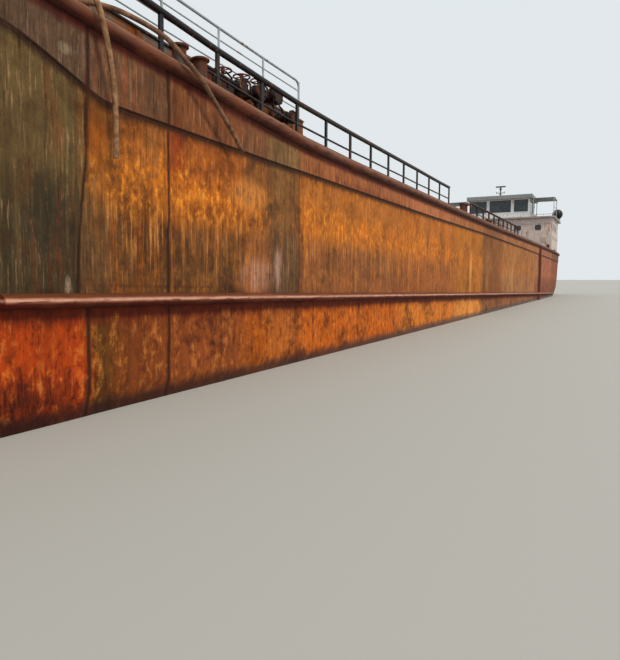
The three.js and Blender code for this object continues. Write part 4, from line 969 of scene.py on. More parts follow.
def smooth_route(route):
    """The curve through a route's points, with three more points between each two of them."""
    points = [Vector(p) for p in route]
    padded = [points[0] * 2 - points[1], *points, points[-1] * 2 - points[-2]]
    out = []
    for i in range(1, len(padded) - 2):
        a, b, c, d = padded[i - 1 : i + 3]
        for t in (0.0, 0.25, 0.5, 0.75):
            square, cube = 2 * a - 5 * b + 4 * c - d, 3 * b - a - 3 * c + d
            out.append(0.5 * (2 * b + (c - a) * t + square * t**2 + cube * t**3))
    return out + [points[-1]]


def build_hoses():
    rubbers = {
        "hanging_hose_fore": hose_rubber("mud_grey_hose_rubber", "#46301f", "#8a6444", "#ac8460"),
        "hanging_hose_aft": hose_rubber("oil_brown_hose_rubber", "#301e14", "#74543e", "#98745a"),
    }
    for name, route in HOSE_ROUTES.items():
        path = smooth_route(route)
        piece = Shape().pipe(path, sizes().hose_diameter / 2, 16).make(
            name + "_rubber", rubbers[name], slot="hose_rubber", replaces=[name]
        )


class TANKER_OT_hoses(bpy.types.Operator):
    """Two hoses that hang over the port side"""

    bl_idname = "tanker.hoses"
    bl_label = "Hanging hoses"

    def execute(self, context):
        build_hoses()
        return {"FINISHED"}


class TANKER_OT_plating(bpy.types.Operator):
    """Hull plating with its lap, seams, dents and rust"""

    bl_idname = "tanker.plating"
    bl_label = "Hull plating"

    def execute(self, context):
        hull_plating()
        return {"FINISHED"}


def build_bars():
    sheer_steel = bar_steel("sheer_bar_steel_painted_light", SHEER_BAR_RUST_AND_LIGHT)
    strake_steel = bar_steel("strake_steel_painted_light", STRAKE_RUST_AND_LIGHT)
    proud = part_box("sheer_bar_port")[1].x - HULL_ENDS[1]
    height = 0.115
    outline = deck_outline()
    path = [Vector((p.x, p.y - 0.004, p.z - height / 2)) for p in outline]
    strake_low, strake_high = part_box("mid_strake_port")
    level = STRAKE_LEVEL
    strake = [Vector((x, 2.696, level)) for x in spread(strake_low.x, strake_high.x, 300)]
    head = hull_top(FENDER_X) - height * 0.9
    for side, tag in SIDES:
        upper = add_fender(half_round(path, proud + 0.004, height, side, 0.3), side, level + 0.04, head)
        upper.make("sheer_rubbing_bar_" + tag, sheer_steel, slot="bar_steel", replaces=["sheer_bar_" + tag], smooth=50)
        lower = add_fender(half_round(strake, 0.083, STRAKE_HEIGHT, side, 0.2), side, 0.43, level)
        lower.make("mid_rubbing_bar_" + tag, strake_steel, slot="bar_steel", replaces=["mid_strake_" + tag], smooth=50)


class TANKER_OT_bars(bpy.types.Operator):
    """Half-round sheer bar and mid strake, with their standing fenders"""

    bl_idname = "tanker.bars"
    bl_label = "Rubbing bars"

    def execute(self, context):
        build_bars()
        return {"FINISHED"}


def deck_height(x):
    """Height of the deck plating's top at x."""
    return DECK_SURFACE.ray_cast(Vector((inside_ends(x), 0.05, -FAR)), UP)[0].z + DECK_PLATE


def deck_half(x):
    """Half the deck's breadth at x."""
    return hull_half(x, hull_top(x) - 0.001)


def both_sides(shape, name, material, slot, replaces=(), smooth=40.0):
    """Makes a port piece and its starboard copy. Names in replaces lack their side."""
    for form, tag in ((shape, "_port"), (shape.mirrored(), "_starboard")):
        form.make(name + tag, material, slot=slot, replaces=[r + tag for r in replaces], smooth=smooth)


def dress(names, material, edge):
    """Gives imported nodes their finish, and eased edges."""
    for name in names:
        node = NODES[name]
        node.data.materials.clear()
        node.data.materials.append(material)
        bevel = node.modifiers.new("eased_edges", "BEVEL")
        bevel.width = edge
        bevel.segments = 2
        bevel.angle_limit = radians(50)
        bevel.harden_normals = True


def rounded(points, radius, steps=5):
    """A path with its corners rounded."""
    points = [Vector(p) for p in points]
    out = [points[0]]
    for a, b, c in zip(points, points[1:], points[2:]):
        reach = min(radius, (a - b).length * 0.45, (c - b).length * 0.45)
        start = b + (a - b).normalized() * reach
        end = b + (c - b).normalized() * reach
        for k in range(steps + 1):
            t = k / steps
            out.append(start * (1 - t) ** 2 + b * 2 * t * (1 - t) + end * t**2)
    out.append(points[-1])
    return out


def along_deck(shape, x_span, y_span, low, high, steps=1, base=deck_height):
    """A bar that follows the deck, or another base: its foot and head lie low and high above it."""
    (x0, x1), (y0, y1) = x_span, y_span
    rings = []
    for x in spread(x0, x1, steps):
        z = base(x)
        rings.append([(x, y, z + rise) for y, rise in ((y0, low), (y1, low), (y1, high), (y0, high))])
    return shape.ring_strip(rings)


DECK_PLATE = 0.0147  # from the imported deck's underside to its top
ON_DECK = 0.0003  # the hair above the deck at which what stands on it starts


def guard_rail(posts, height, post, head_radius, middle_rail):
    """Flat-bar posts on foot plates, a thick pipe along their heads and a thinner one below, all a little bent.
    middle_rail is the thinner one's height and radius."""
    shape = Shape()
    half_x, half_y = post[0] / 2, post[1] / 2
    plate_x, plate_thick = half_x * 2.4, 0.008
    for x, y in posts:
        foot = deck_height(x) + ON_DECK
        lean = 0.006 * noise.noise(Vector((x * 1.7, y, 2.0)))
        post_rings, plate_rings = [], []
        for share, shift in ((0, 0.0), (0.5, lean * 0.6), (1, lean)):
            span = (x - half_x + shift, x + half_x + shift)
            post_rings.append(level_rectangle(span, (y - half_y, y + half_y), foot + height * share))
        for z in (foot, foot + plate_thick):
            plate_rings.append(level_rectangle((x - plate_x, x + plate_x), (y - half_y, y + half_y), z))
        shape.ring_strip(post_rings)
        shape.ring_strip(plate_rings)
    for level, radius in ((height, head_radius), middle_rail):
        path = []
        for x, y in posts:
            sag = 0.005 * noise.noise(Vector((x * 1.3, y, level * 9)))
            path.append(Vector((x, y + sag, deck_height(x) + ON_DECK + level + sag * 0.6)))
        shape.pipe(path, radius, 12)
    return shape


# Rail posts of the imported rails: the ends of the straight part, and places round the bow and the stern
FORE_RAIL_SIDE = (4.29, 16.72)
FORE_RAIL_BOW = [17.5, 18.2, 18.8, 19.15]
STERN_RAIL_SIDE = [-18.35, -18.75, -19.15]
STERN_RAIL_AFT = -19.33


def build_rails():
    dark = rust_paint("weathered_rail_enamel", colours().rail_paint, "#5a2e1c", 0.28, 0.55, 300)
    aft_low, aft_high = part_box("side_rail_aft_port")
    xs = spread(*FORE_RAIL_SIDE, 17) + FORE_RAIL_BOW
    posts = [(x, deck_half(x) - 0.3) for x in xs] + [(FORE_RAIL_BOW[-1] + 0.06, 0.38)]
    fore = guard_rail(posts, 0.48, (0.042, 0.022), 0.028, (0.25, 0.012))
    both_sides(fore, "fore_guard_rail", dark, "dark_rail", ["side_rail_fore"])
    rusty = rust_paint("rusted_rail_enamel", "#241614", "#4e2414", 0.6, 0.6, 250)
    posts = [(x, 2.4) for x in spread(aft_low.x + 0.03, aft_high.x - 0.03, 10)]
    aft = guard_rail(posts, 0.39, (0.06, 0.034), 0.028, (0.203, 0.012))
    both_sides(aft, "aft_guard_rail", rusty, "rust_rail", ["side_rail_aft"])
    pale = rust_paint("stern_rail_enamel", "#b9bfbe", "#86502e", 0.4, 0.5, 150)
    port = [(x, deck_half(x) - 0.14) for x in STERN_RAIL_SIDE]
    back = [(STERN_RAIL_AFT, y) for y in (1.15, 0.0, -1.15)]
    posts = port + back + [(x, -y) for x, y in reversed(port)]
    stern = guard_rail(posts, 0.48, (0.024, 0.024), 0.016, (0.25, 0.010))
    stern.make("stern_guard_rail", pale, slot="white_paint", replaces=["stern_rail"])


class TANKER_OT_rails(bpy.types.Operator):
    """Guard rails along both sides of the deck"""

    bl_idname = "tanker.rails"
    bl_label = "Side rails"

    def execute(self, context):
        build_rails()
        return {"FINISHED"}


# Turned deck fittings: height above the deck and radius
SUNK = 0.004  # how far fittings reach into the deck, so that no gap shows under them
COAMING = [(-SUNK, 0.24), (0.18, 0.24), (0.18, 0.226), (0.022, 0.226), (0.02, 0.0)]
BOLLARD = [
    *((-SUNK, 0.06), (0.012, 0.06), (0.02, 0.055), (0.185, 0.055), (0.195, 0.074), (0.208, 0.074), (0.215, 0.06)),
    (0.218, 0.03),
]
ROLLER = [(0, 0.05), (0.05, 0.045), (0.09, 0.06), (0.11, 0.045)]
VENT_CAP = [(0.352, 0.036), (0.352, 0.082), (0.36, 0.085), (0.375, 0.08), (0.398, 0.045), (0.4, 0.02)]
LID_REACH = 0.254  # across the ship, from a lid's port edge to its middle
NARROW_PIPE = 0.036  # radius of hose stubs and of the tanks' vents


def build_deck():
    steel = rust_paint("worn_deck_enamel", "#5c3a2c", "#7c4420", 0.72, 0.7, 600, grit_mm=14)
    plating = Shape()
    places, rows = fair_rings()
    shares = spread(-1, 1, 12)
    rings = []
    for x, row in zip(places, rows):
        half = min(row[0][0], deck_half(x)) - 0.0005
        z = deck_height(x)
        top = [(x, half * s, z) for s in shares]
        rings.append(top + [(x, half, z - DECK_PLATE), (x, -half, z - DECK_PLATE)])
    plating.ring_strip(rings)
    plating.make("deck_plating", steel, slot="deck_steel", replaces=["main_deck"], smooth=30)

    iron = rust_paint("scaled_fitting_enamel", "#3a2a24", "#663018", 0.6, 0.68, 400, grit_mm=12)
    fittings = Shape()
    for number in range(1, 5):
        low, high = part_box(f"hatch_lid_{number}")
        x, y = (low.x + high.x) / 2, high.y - LID_REACH
        z = deck_height(x)
        fittings.turned((x, y, z), UP, COAMING, 40)
        for spot in fittings.around((x, y, z), UP, 0.236, 8):
            fittings.pipe([spot, spot + UP * 0.165], 0.008, 6)
        # Ears and pin of its hinge
        axis_y, axis_z = y - 0.274, z + 0.188
        for ear in (x - 0.0375, x + 0.0375):
            fittings.box((ear - 0.0075, axis_y - 0.014, z + 0.09), (ear + 0.0075, y - 0.234, axis_z + 0.014))
        fittings.pipe([(x - 0.051, axis_y, axis_z), (x + 0.051, axis_y, axis_z)], 0.008, 16)
    # Pairs of bollards
    for x, y in ((x, y) for x in (12.9, 3.6, -13.6) for y in (2.55, -2.55)):
        along_deck(fittings, (x - 0.225, x + 0.225), (y - 0.08, y + 0.08), -SUNK, 0.012)
        for post_x in (x - 0.13, x + 0.13):
            fittings.turned((post_x, y, deck_height(post_x)), UP, BOLLARD, 28)
    # Stubs that the hanging hoses come out of
    for x, z in ((14.15, 2.915), (13.90, 2.880)):
        foot = deck_height(x)
        bend = rounded([(x, 2.08, foot - SUNK), (x, 2.08, z), (x, 2.30, z)], 0.07, 6)
        fittings.pipe(bend, NARROW_PIPE, 20)
        fittings.flange((x, 2.304, z), PORT, 0.052, 0.016, 6)
        fittings.flange((x, 2.08, foot), UP, 0.07, 0.012, 6)
    # Fairleads: two rollers on a plate
    for x, side in ((x, side) for x in (16.3, -16.4, 0.9) for side in (1, -1)):
        y = side * (deck_half(x) - 0.13)
        for roller_x in (x - 0.14, x + 0.14):
            fittings.turned((roller_x, y, deck_height(x)), UP, ROLLER, 20)
        along_deck(fittings, (x - 0.24, x + 0.24), (y - 0.06, y + 0.06), -SUNK, 0.01)
    # Mushroom vents, and gooseneck vents of the tanks
    for x, y in ((x, y) for x in (7.9, -3.9, -10.0) for y in (-0.82, 0.82)):
        foot = (x, y, deck_height(x))
        fittings.turned(foot, UP, [(-SUNK, NARROW_PIPE), (0.36, NARROW_PIPE)], 20)
        fittings.flange(foot, UP, 0.065, 0.012, 6)
        fittings.turned(foot, UP, VENT_CAP, 24)
    for x, y in ((x, y) for x in (6.6, 0.2, -2.6, -6.6, -9.2) for y in (-1.95, 0.85)):
        z = deck_height(x)
        neck = [(x, y + v, z + rise) for v, rise in ((0, -SUNK), (0, 0.27), (0.13, 0.27), (0.13, 0.15))]
        fittings.pipe(rounded(neck, 0.08, 5), NARROW_PIPE, 16)
        fittings.flange((x, y, z), UP, 0.062, 0.01, 6)
        fittings.turned((x, y + 0.13, z + 0.155), -UP, [(0, 0.038), (0.01, 0.05), (0.035, 0.05)], 16)
    fittings.make("deck_fittings", iron, slot="deck_steel")


class TANKER_OT_deck(bpy.types.Operator):
    """Deck plating, hatch coamings, bollards, fairleads and the hoses' stubs"""

    bl_idname = "tanker.deck"
    bl_label = "Deck"

    def execute(self, context):
        build_deck()
        return {"FINISHED"}


def build_lids():
    steel = rust_paint("worn_lid_enamel", "#4e3c30", "#8a4a20", 0.6, 0.65, 300)
    for number in range(1, 5):
        name = f"hatch_lid_{number}"
        dress([name], steel, 0.003)
        low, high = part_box(name)
        x, y, top = (low.x + high.x) / 2, high.y - LID_REACH, high.z - 0.0423
        trim = Shape()
        trim.turned((x, y, top - 0.002), UP, [(0, 0.13), (0.008, 0.126), (0.014, 0.03)], 32)
        for spot in trim.around((x, y, top), UP, 0.222, 6):
            if abs(spot.x - x) < 0.09 and spot.y < y:
                continue
            dog = [(0, 0.016), (0.012, 0.016), (0.014, 0.008), (0.045, 0.008)]
            trim.turned(spot - UP * 0.004, UP, dog, 12)
            trim.pipe([spot + Vector((-0.02, 0, 0.038)), spot + Vector((0.02, 0, 0.038))], 0.006, 8)
        trim.make(name + "_dogs", steel, body=name, slot="deck_steel")


class TANKER_OT_lids(bpy.types.Operator):
    """Rims, dogs and handles of the hatch lids"""

    bl_idname = "tanker.lids"
    bl_label = "Hatch lids"

    def execute(self, context):
        build_lids()
        return {"FINISHED"}


# The cargo lines: places across the deck, height of their middle above it, and radii of pipe and flange
LINE_YS = (-0.26, 0.0, 0.26)
LINE_RISE, LINE_RADIUS, LINE_FLANGE = 0.21, 0.072, 0.105
BEARER_SPAN, BEARER_SPACING, STRAP_RADIUS = (-0.42, 0.42), 3.85, 0.079
VALVE = [
    *((-0.09, 0.05), (-0.06, 0.085), (0, 0.1), (0.07, 0.07), (0.1, 0.04), (0.13, 0.055), (0.145, 0.055), (0.15, 0.02)),
    (0.3, 0.013),
]
# Risers of the loading manifold: place along it, height of the top, and radius
RISERS = ((-0.74, 0.56, 0.045), (-0.4, 0.70, 0.055), (-0.06, 0.64, 0.05), (0.28, 0.60, 0.045))


def build_pipes():
    steel = rust_paint("weathered_pipe_enamel", "#5e544c", "#6e3a1c", 0.62, 0.6, 500)
    lines = Shape()
    low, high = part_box("cargo_lines")
    for y in LINE_YS:
        lines.pipe([(x, y, deck_height(x) + LINE_RISE) for x in spread(low.x, high.x, 60)], LINE_RADIUS, 20)
        for end, way in ((low.x, -1), (high.x, 1)):
            lines.flange((end - way * 0.02, y, deck_height(end) + LINE_RISE), way * BOW, LINE_FLANGE, 0.02)
    x = low.x + 0.2
    while x < high.x:
        # A bearer of two webs with a foot plate and a top plate, and a strap over each line
        for web_x in (x - 0.03, x + 0.03):
            along_deck(lines, (web_x - 0.005, web_x + 0.005), BEARER_SPAN, ON_DECK, 0.14)
        for low_z, high_z in ((ON_DECK, 0.01), (0.132, 0.142)):
            along_deck(lines, (x - 0.035, x + 0.035), BEARER_SPAN, low_z, high_z)
        z = deck_height(x) + LINE_RISE
        for y in LINE_YS:
            ends = [Vector((x, y + side * STRAP_RADIUS, z - 0.07)) for side in (1, -1)]
            bends = [PORT * cos(bend) + UP * sin(bend) for bend in spread(0, pi, 12)]
            strap = [ends[0], *(Vector((x, y, z)) + bend * STRAP_RADIUS for bend in bends), ends[1]]
            lines.pipe(strap, 0.007, 8)
        # A valve in each line, a step further on than in the line beside it
        for y, shift in zip(LINE_YS, (0.9, 1.25, 1.6)):
            at = x + shift
            if at > high.x - 0.2:
                continue
            z = deck_height(at) + LINE_RISE
            for way in (-1, 1):
                for gap in (0.075, 0.096):
                    lines.flange((at + way * gap, y, z), way * BOW, LINE_FLANGE, 0.018)
            lines.turned((at, y, z), UP, VALVE, 20)
            lines.handwheel((at, y, z + 0.28), UP, 0.085)
        x += BEARER_SPACING
    lines.make("cargo_line_pipes", steel, slot="pipe_steel", replaces=["cargo_lines"])

    dark = rust_paint("scaled_manifold_enamel", "#221816", "#4e2616", 0.5, 0.62, 300)
    red = rust_paint("faded_valve_enamel", "#6a2018", "#5a3018", 0.55, 0.5, 200)
    manifold = Shape()
    wheels = Shape()
    x, y = 11.34, 1.95
    deck = deck_height(x)
    # The bearer that the risers stand on with its top plate, and the locker ahead of it with its lid
    for x_ends, y_ends, low_z, high_z in (
        ((-0.87, 0.5), (-0.06, 0.06), ON_DECK, 0.1),
        ((-0.885, 0.515), (-0.075, 0.075), 0.1, 0.12),
        ((0.45, 0.88), (-0.09, 0.25), ON_DECK, 0.41),
        ((0.44, 0.89), (-0.1, 0.26), 0.41, 0.43),
    ):
        spans = (x + x_ends[0], x + x_ends[1]), (y + y_ends[0], y + y_ends[1])
        along_deck(manifold, *spans, low_z, high_z, 2)
    for clasp_x in (x + 0.55, x + 0.78):
        manifold.box((clasp_x - 0.015, y + 0.25, deck + 0.36), (clasp_x + 0.015, y + 0.262, deck + 0.42))
    manifold.pipe([(x - 0.86, y, deck + 0.33), (x + 0.46, y, deck + 0.33)], 0.05, 20)
    manifold.flange((x - 0.86, y, deck + 0.33), -BOW, 0.08, 0.018)
    for place, head, radius in RISERS:
        base, top = Vector((x + place, y, deck)), Vector((x + place, y, deck + head))
        manifold.pipe([base + UP * 0.11, top - UP * 0.02], radius, 20)
        manifold.flange(base + UP * 0.11, UP, radius * 1.75, 0.018)
        for rise in (0.24, 0.257):
            manifold.flange(base + UP * rise, UP, radius * 1.6, 0.016)
        body = [(-0.11, 1), (-0.08, 1.5), (-0.02, 1.7), (0.03, 1.2), (0.06, 0.9)]
        manifold.turned(top - UP * 0.09, UP, [(height, radius * share) for height, share in body], 20)
        manifold.pipe([top - UP * 0.06, top + UP * 0.06], 0.013, 10)
        outlet = top - UP * 0.15
        manifold.pipe([outlet, outlet + PORT * 0.24], radius, 20)
        for reach, share, thick in ((0.16, 1.65, 0.018), (0.225, 1.7, 0.016), (0.2425, 1.7, 0.0175)):
            manifold.flange(outlet + PORT * reach, PORT, radius * share, thick)
        wheels.handwheel(top + UP * 0.045, UP, 0.088, 0.009)
        lever = outlet + PORT * 0.11
        manifold.pipe([lever, lever + UP * 0.1, lever + Vector((0.13, 0.02, 0.12))], 0.009, 8)
    gauge = Vector((x - 0.1, y, deck + 0.33))
    manifold.pipe([gauge, gauge + UP * 0.26], 0.01, 8)
    manifold.turned(gauge + UP * 0.3 - PORT * 0.012, PORT, [(0, 0.038), (0.004, 0.042), (0.024, 0.042)], 24)
    sag = ((-0.5, 0.1, 0.2), (-0.2, 0.16, 0.12), (0.2, 0.12, 0.19))
    manifold.pipe(rounded([(x + u, y + v, deck + w) for u, v, w in sag], 0.2), 0.008, 6)
    both_sides(manifold, "manifold_pipes", dark, "pipe_steel", ["manifold"])
    both_sides(wheels, "manifold_handwheels", red, "pipe_steel")


class TANKER_OT_pipes(bpy.types.Operator):
    """Cargo lines on their bearers, with valves and clamps, and the loading manifold at each side"""

    bl_idname = "tanker.pipes"
    bl_label = "Cargo pipes"

    def execute(self, context):
        build_pipes()
        return {"FINISHED"}


TRUNK_LINE_RISE = 0.12  # middle of the cargo lines above the trunk's top
TRUNK_HATCH = [(0, 0.24), (0.11, 0.24), (0.112, 0.26), (0.13, 0.26), (0.145, 0.22), (0.15, 0.02)]


def build_trunk():
    steel = rust_paint("worn_trunk_enamel", "#6e6054", "#84481e", 0.6, 0.65, 500)
    dress(["fore_trunk"], steel, 0.006)
    low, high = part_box("fore_trunk")
    half = high.y
    surface = surface_of("fore_trunk")
    top = lambda x: surface.ray_cast(Vector((x, 0.01, FAR)), -UP)[0].z
    trim = Shape()
    # Stiffeners on the side walls, and the bar along the edge of the top
    x = low.x + 0.35
    while x < high.x:
        rise = top(x) - deck_height(x)
        for side in (1, -1):
            span = (side * half - 0.004, side * (half + 0.045))
            along_deck(trim, (x - 0.006, x + 0.006), span, 0.003, rise - 0.03)
        x += 0.55
    for side in (1, -1):
        span = (side * half - 0.02, side * (half + 0.02))
        along_deck(trim, (low.x + 0.001, high.x - 0.001), span, -0.03, -0.018, 24, base=top)
    for x, y in ((10.6, 0.75), (12.4, -0.7), (14.5, 0.7)):
        z = top(x)
        trim.turned((x, y, z - SUNK), UP, TRUNK_HATCH, 36)
        for spot in trim.around((x, y, z), UP, 0.262, 8):
            trim.pipe([spot + UP * 0.02, spot + UP * 0.15], 0.009, 8)
        grip = [(x + u, y, z + rise) for u, rise in ((-0.06, 0.14), (-0.06, 0.19), (0.06, 0.19), (0.06, 0.14))]
        trim.pipe(rounded(grip, 0.02), 0.008, 8)
    # The cargo lines go on over the trunk
    for y in LINE_YS:
        start = low.x - 0.3
        way = [
            (start, y, deck_height(start) + LINE_RISE),
            (low.x - 0.16, y, deck_height(low.x) + LINE_RISE),
            (low.x - 0.08, y, top(low.x + 0.01) + TRUNK_LINE_RISE),
            *((x, y, top(x) + TRUNK_LINE_RISE) for x in (low.x + 0.3, 11.2, 12.3, 13.2, 14.0, high.x - 0.9)),
        ]
        trim.pipe(rounded(way, 0.16), LINE_RADIUS, 20)
        trim.flange((high.x - 0.9, y, top(high.x - 0.9) + TRUNK_LINE_RISE), BOW, LINE_FLANGE, 0.02)
        for x in (10.4, 12.2, 14.0):
            joint = Vector((x, y, top(x) + TRUNK_LINE_RISE))
            for foot in (joint, joint + BOW * 0.02):
                trim.flange(foot, BOW, LINE_FLANGE, 0.018)
    for x in (9.9, 11.4, 12.9, 14.4):
        z = top(x)
        trim.box((x - 0.03, -0.4, z - 0.004), (x + 0.03, 0.4, z + 0.05))
    trim.make("trunk_fittings", steel, slot="deck_steel")

    pale = rust_paint("pale_rail_enamel", "#a5b4bb", "#80502e", 0.3, 0.5, 150)
    rail = Shape()
    aft, fore, side_y = low.x + 0.045, high.x - 0.045, half - 0.045
    side_xs, front_ys = spread(aft, fore, 7), spread(side_y, -side_y, 4)[1:-1]
    posts = [(x, side_y) for x in side_xs] + [(fore, y) for y in front_ys]
    posts += [(x, -side_y) for x in reversed(side_xs)]
    for x, y in posts:
        z = top(x)
        rail.turned((x, y, z + ON_DECK), UP, [(0, 0.03), (0.01, 0.03), (0.012, 0.0125), (0.485, 0.0125)], 12)
    for level, radius in ((0.49, 0.0145), (0.37, 0.008), (0.245, 0.010), (0.13, 0.008)):
        path = [(x, y, top(x) + level) for x, y in posts]
        if level > 0.4:
            path = [(aft, side_y, top(aft) + ON_DECK), *path, (aft, -side_y, top(aft) + ON_DECK)]
        rail.pipe(rounded(path, 0.1, 6), radius, 12)
    rail.make("trunk_guard_rail", pale, slot="pale_rail", replaces=["trunk_rail"])


class TANKER_OT_trunk(bpy.types.Operator):
    """The raised trunk deck's stiffeners, hatches and pale rail"""

    bl_idname = "tanker.trunk"
    bl_label = "Fore trunk"

    def execute(self, context):
        build_trunk()
        return {"FINISHED"}


# The port anchor's middle on the bow plating, how far the plating leans out there, and how far it turns in
ANCHOR_AT = Vector((17.65, 2.138, 2.33))
ANCHOR_LEAN = radians(10.84)
ANCHOR_TURN = radians(-25.06)


def anchor_on_bolster():
    """A stockless anchor on its bolster: drawn with x along the plating, y out of it and z up, then laid on."""
    shape = Shape()
    pad = [(-0.2, 0.308), (0.04, 0.308), (0.054, 0.302), (0.06, 0.288), (0.06, 0.136)]
    pad += [(0.083, 0.13), (0.1, 0.114), (0.104, 0.1), (0.096, 0.08), (0.012, 0.064)]
    shape.turned((0, 0, 0), PORT, pad, 40)
    shank = [(0, 0.03, 0.03), (0, 0.065, 0.005), (0, 0.08, -0.04), (0, 0.082, -0.42)]
    shape.pipe(shank, [0.028, 0.031, 0.033, 0.037], 16)
    shape.hoop((0, 0.07, 0.0), BOW, 0.04, 0.01, 20, 8)
    shape.box((-0.188, -0.2, -0.459), (0.188, 0.06, -0.411))
    crown = []
    for u, thick in ((-0.19, 0.7), (-0.178, 0.92), (-0.15, 1.0), (0.15, 1.0), (0.178, 0.92), (0.19, 0.7)):
        section = rounded_rectangle((0.037, 0.044), 0.016)
        crown.append([(u, 0.0875 + a * thick, -0.435 + b * thick) for (a, b), _ in section])
    shape.ring_strip(crown)
    shape.turned((0, 0.12, -0.435), PORT, [(-0.02, 0.03), (0.001, 0.03), (0.005, 0.024)], 20)
    for side in (-1, 1):
        root, tip = Vector((side * 0.15, 0.091, -0.42)), Vector((side * 0.204, 0.083, 0.008))
        blade = []
        for share_up, half, thick in (
            (0.0, 0.046, 0.034), (0.12, 0.058, 0.034), (0.3, 0.06, 0.03), (0.6, 0.042, 0.024), (0.85, 0.023, 0.017),
            (0.97, 0.012, 0.01), (1.0, 0.005, 0.005),
        ):
            spot = root.lerp(tip, share_up)
            blade.append([spot + Vector((a, b, 0)) for (a, b), _ in rounded_rectangle((half, thick), thick * 0.85)])
        shape.ring_strip(blade)
    laid = Matrix.Rotation(ANCHOR_TURN, 3, "Z") @ Matrix.Rotation(-ANCHOR_LEAN, 3, "X")
    shape.points = [ANCHOR_AT + laid @ Vector(point) for point in shape.points]
    return shape


def build_windlass():
    iron = rust_paint("greased_gear_iron", "#3b4742", "#5c3420", 0.5, 0.5, 200)
    bare = rust_paint("rubbed_drum_iron", "#4a4642", "#6a3a20", 0.45, 0.42, 120, metallic=0.5)
    x = 16.9
    axle_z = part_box("windlass_frame")[1].z - 0.08
    floor = deck_height(x + 0.35) + 0.0023
    tall = axle_z - floor
    frame_shape = Shape()
    along_deck(frame_shape, (x - 0.3, x + 0.3), (-0.4, 0.4), ON_DECK, 0.045, 2)
    for y in (-0.33, 0.33):
        half = [(0.11, 0.0), (0.11, 0.05), (0.06, tall), (0.055, tall + 0.045), (0.03, tall + 0.075)]
        outline = [(-u, v) for u, v in half] + half[::-1]
        frame_shape.ring_strip([[(x + u, y + side, floor + v) for u, v in outline] for side in (-0.022, 0.022)])
        collar = [(-0.034, 0.052), (-0.03, 0.058), (0.03, 0.058), (0.034, 0.052)]
        frame_shape.turned((x, y, axle_z), PORT, collar, 28)
    gearbox = [(-0.29, 0), (-0.29, 0.24), (-0.25, 0.3), (-0.17, 0.3), (-0.13, 0.26), (-0.13, 0)]
    frame_shape.ring_strip([[(x + u, y, floor + v) for u, v in gearbox] for y in (-0.3, 0.06)])
    motor = [(0, 0.05), (0.004, 0.085), (0.2, 0.085), (0.21, 0.06), (0.23, 0.06)]
    frame_shape.turned((x - 0.21, 0.06, floor + 0.16), PORT, motor, 24)
    for k in range(6):
        frame_shape.hoop((x - 0.21, 0.09 + k * 0.028, floor + 0.16), PORT, 0.086, 0.005, 24, 6)
    for side in (-1, 1):
        for u in (-0.26, 0.26):
            frame_shape.turned((x + u, side * 0.36, floor + 0.04), UP, [(0, 0.014), (0.02, 0.014)], 6)
    frame_shape.make("windlass_bed_and_frames", iron, slot="gear_iron", replaces=["windlass_frame"])
    drum = Shape()
    start = Vector((x, 0, axle_z))
    drum.turned(start - PORT * 0.52, PORT, [(0, 0.034), (1.04, 0.034)], 24)
    drum.turned(start - PORT * 0.26, PORT, [(0, 0.078), (0.52, 0.078)], 28)
    for y in (-0.25, 0.25):
        drum.turned(start + PORT * (y - 0.014), PORT, [(0, 0.12), (0.003, 0.125), (0.025, 0.125), (0.028, 0.12)], 36)
    for k in range(22):
        y = -0.225 + k * 0.0078
        drum.hoop(start + PORT * y, PORT, 0.082, 0.0042, 28, 6)
    teeth = [out * (0.114 if k % 2 else 0.1) for k, out in enumerate(circle(BOW, UP, 36))]
    drum.ring_strip([[start + tooth + PORT * y for tooth in teeth] for y in (0.0, 0.05)])
    for side in (-1, 1):
        head = [(0.384, 0.03), (0.385, 0.1), (0.4, 0.105), (0.415, 0.08), (0.44, 0.062), (0.475, 0.062), (0.5, 0.085)]
        drum.turned(start, PORT * side, [*head, (0.51, 0.105), (0.519, 0.1)], 28)
    drum.make("windlass_drum_and_heads", bare, body="windlass_drum", slot="gear_iron", replaces=["windlass_drum"])

    tarred = rust_paint("tarred_anchor_steel", "#2e2c2a", "#6e3c1e", 0.5, 0.6, 200)
    both_sides(anchor_on_bolster(), "stockless_anchor", tarred, "gear_iron", ["anchor"], 35)
    chains = Shape()
    for side in (1, -1):
        stopper = Vector((17.28, side * 0.5, deck_height(17.28)))
        lip = Vector((17.5, side * 1.3, deck_height(17.5)))
        chains.turned(lip - UP * 0.004, UP, [(0, 0.1), (0.02, 0.1), (0.05, 0.085), (0.06, 0.07), (0.04, 0.055)], 28)
        for cheek in (-0.045, 0.045):
            chains.turned(stopper + Vector((0, cheek, -0.004)), UP, [(0, 0.022), (0.12, 0.018), (0.13, 0.01)], 14)
        chains.chain(Vector((17.065, side * 0.2, axle_z)), stopper + UP * 0.09)
        chains.chain(stopper + UP * 0.09, lip + UP * 0.065)
    chains.make("anchor_chains", iron, slot="gear_iron")


class TANKER_OT_windlass(bpy.types.Operator):
    """Anchor windlass with its gear and warping heads, the anchors, and the chains to the hawse pipes"""

    bl_idname = "tanker.windlass"
    bl_label = "Windlass"

    def execute(self, context):
        build_windlass()
        return {"FINISHED"}


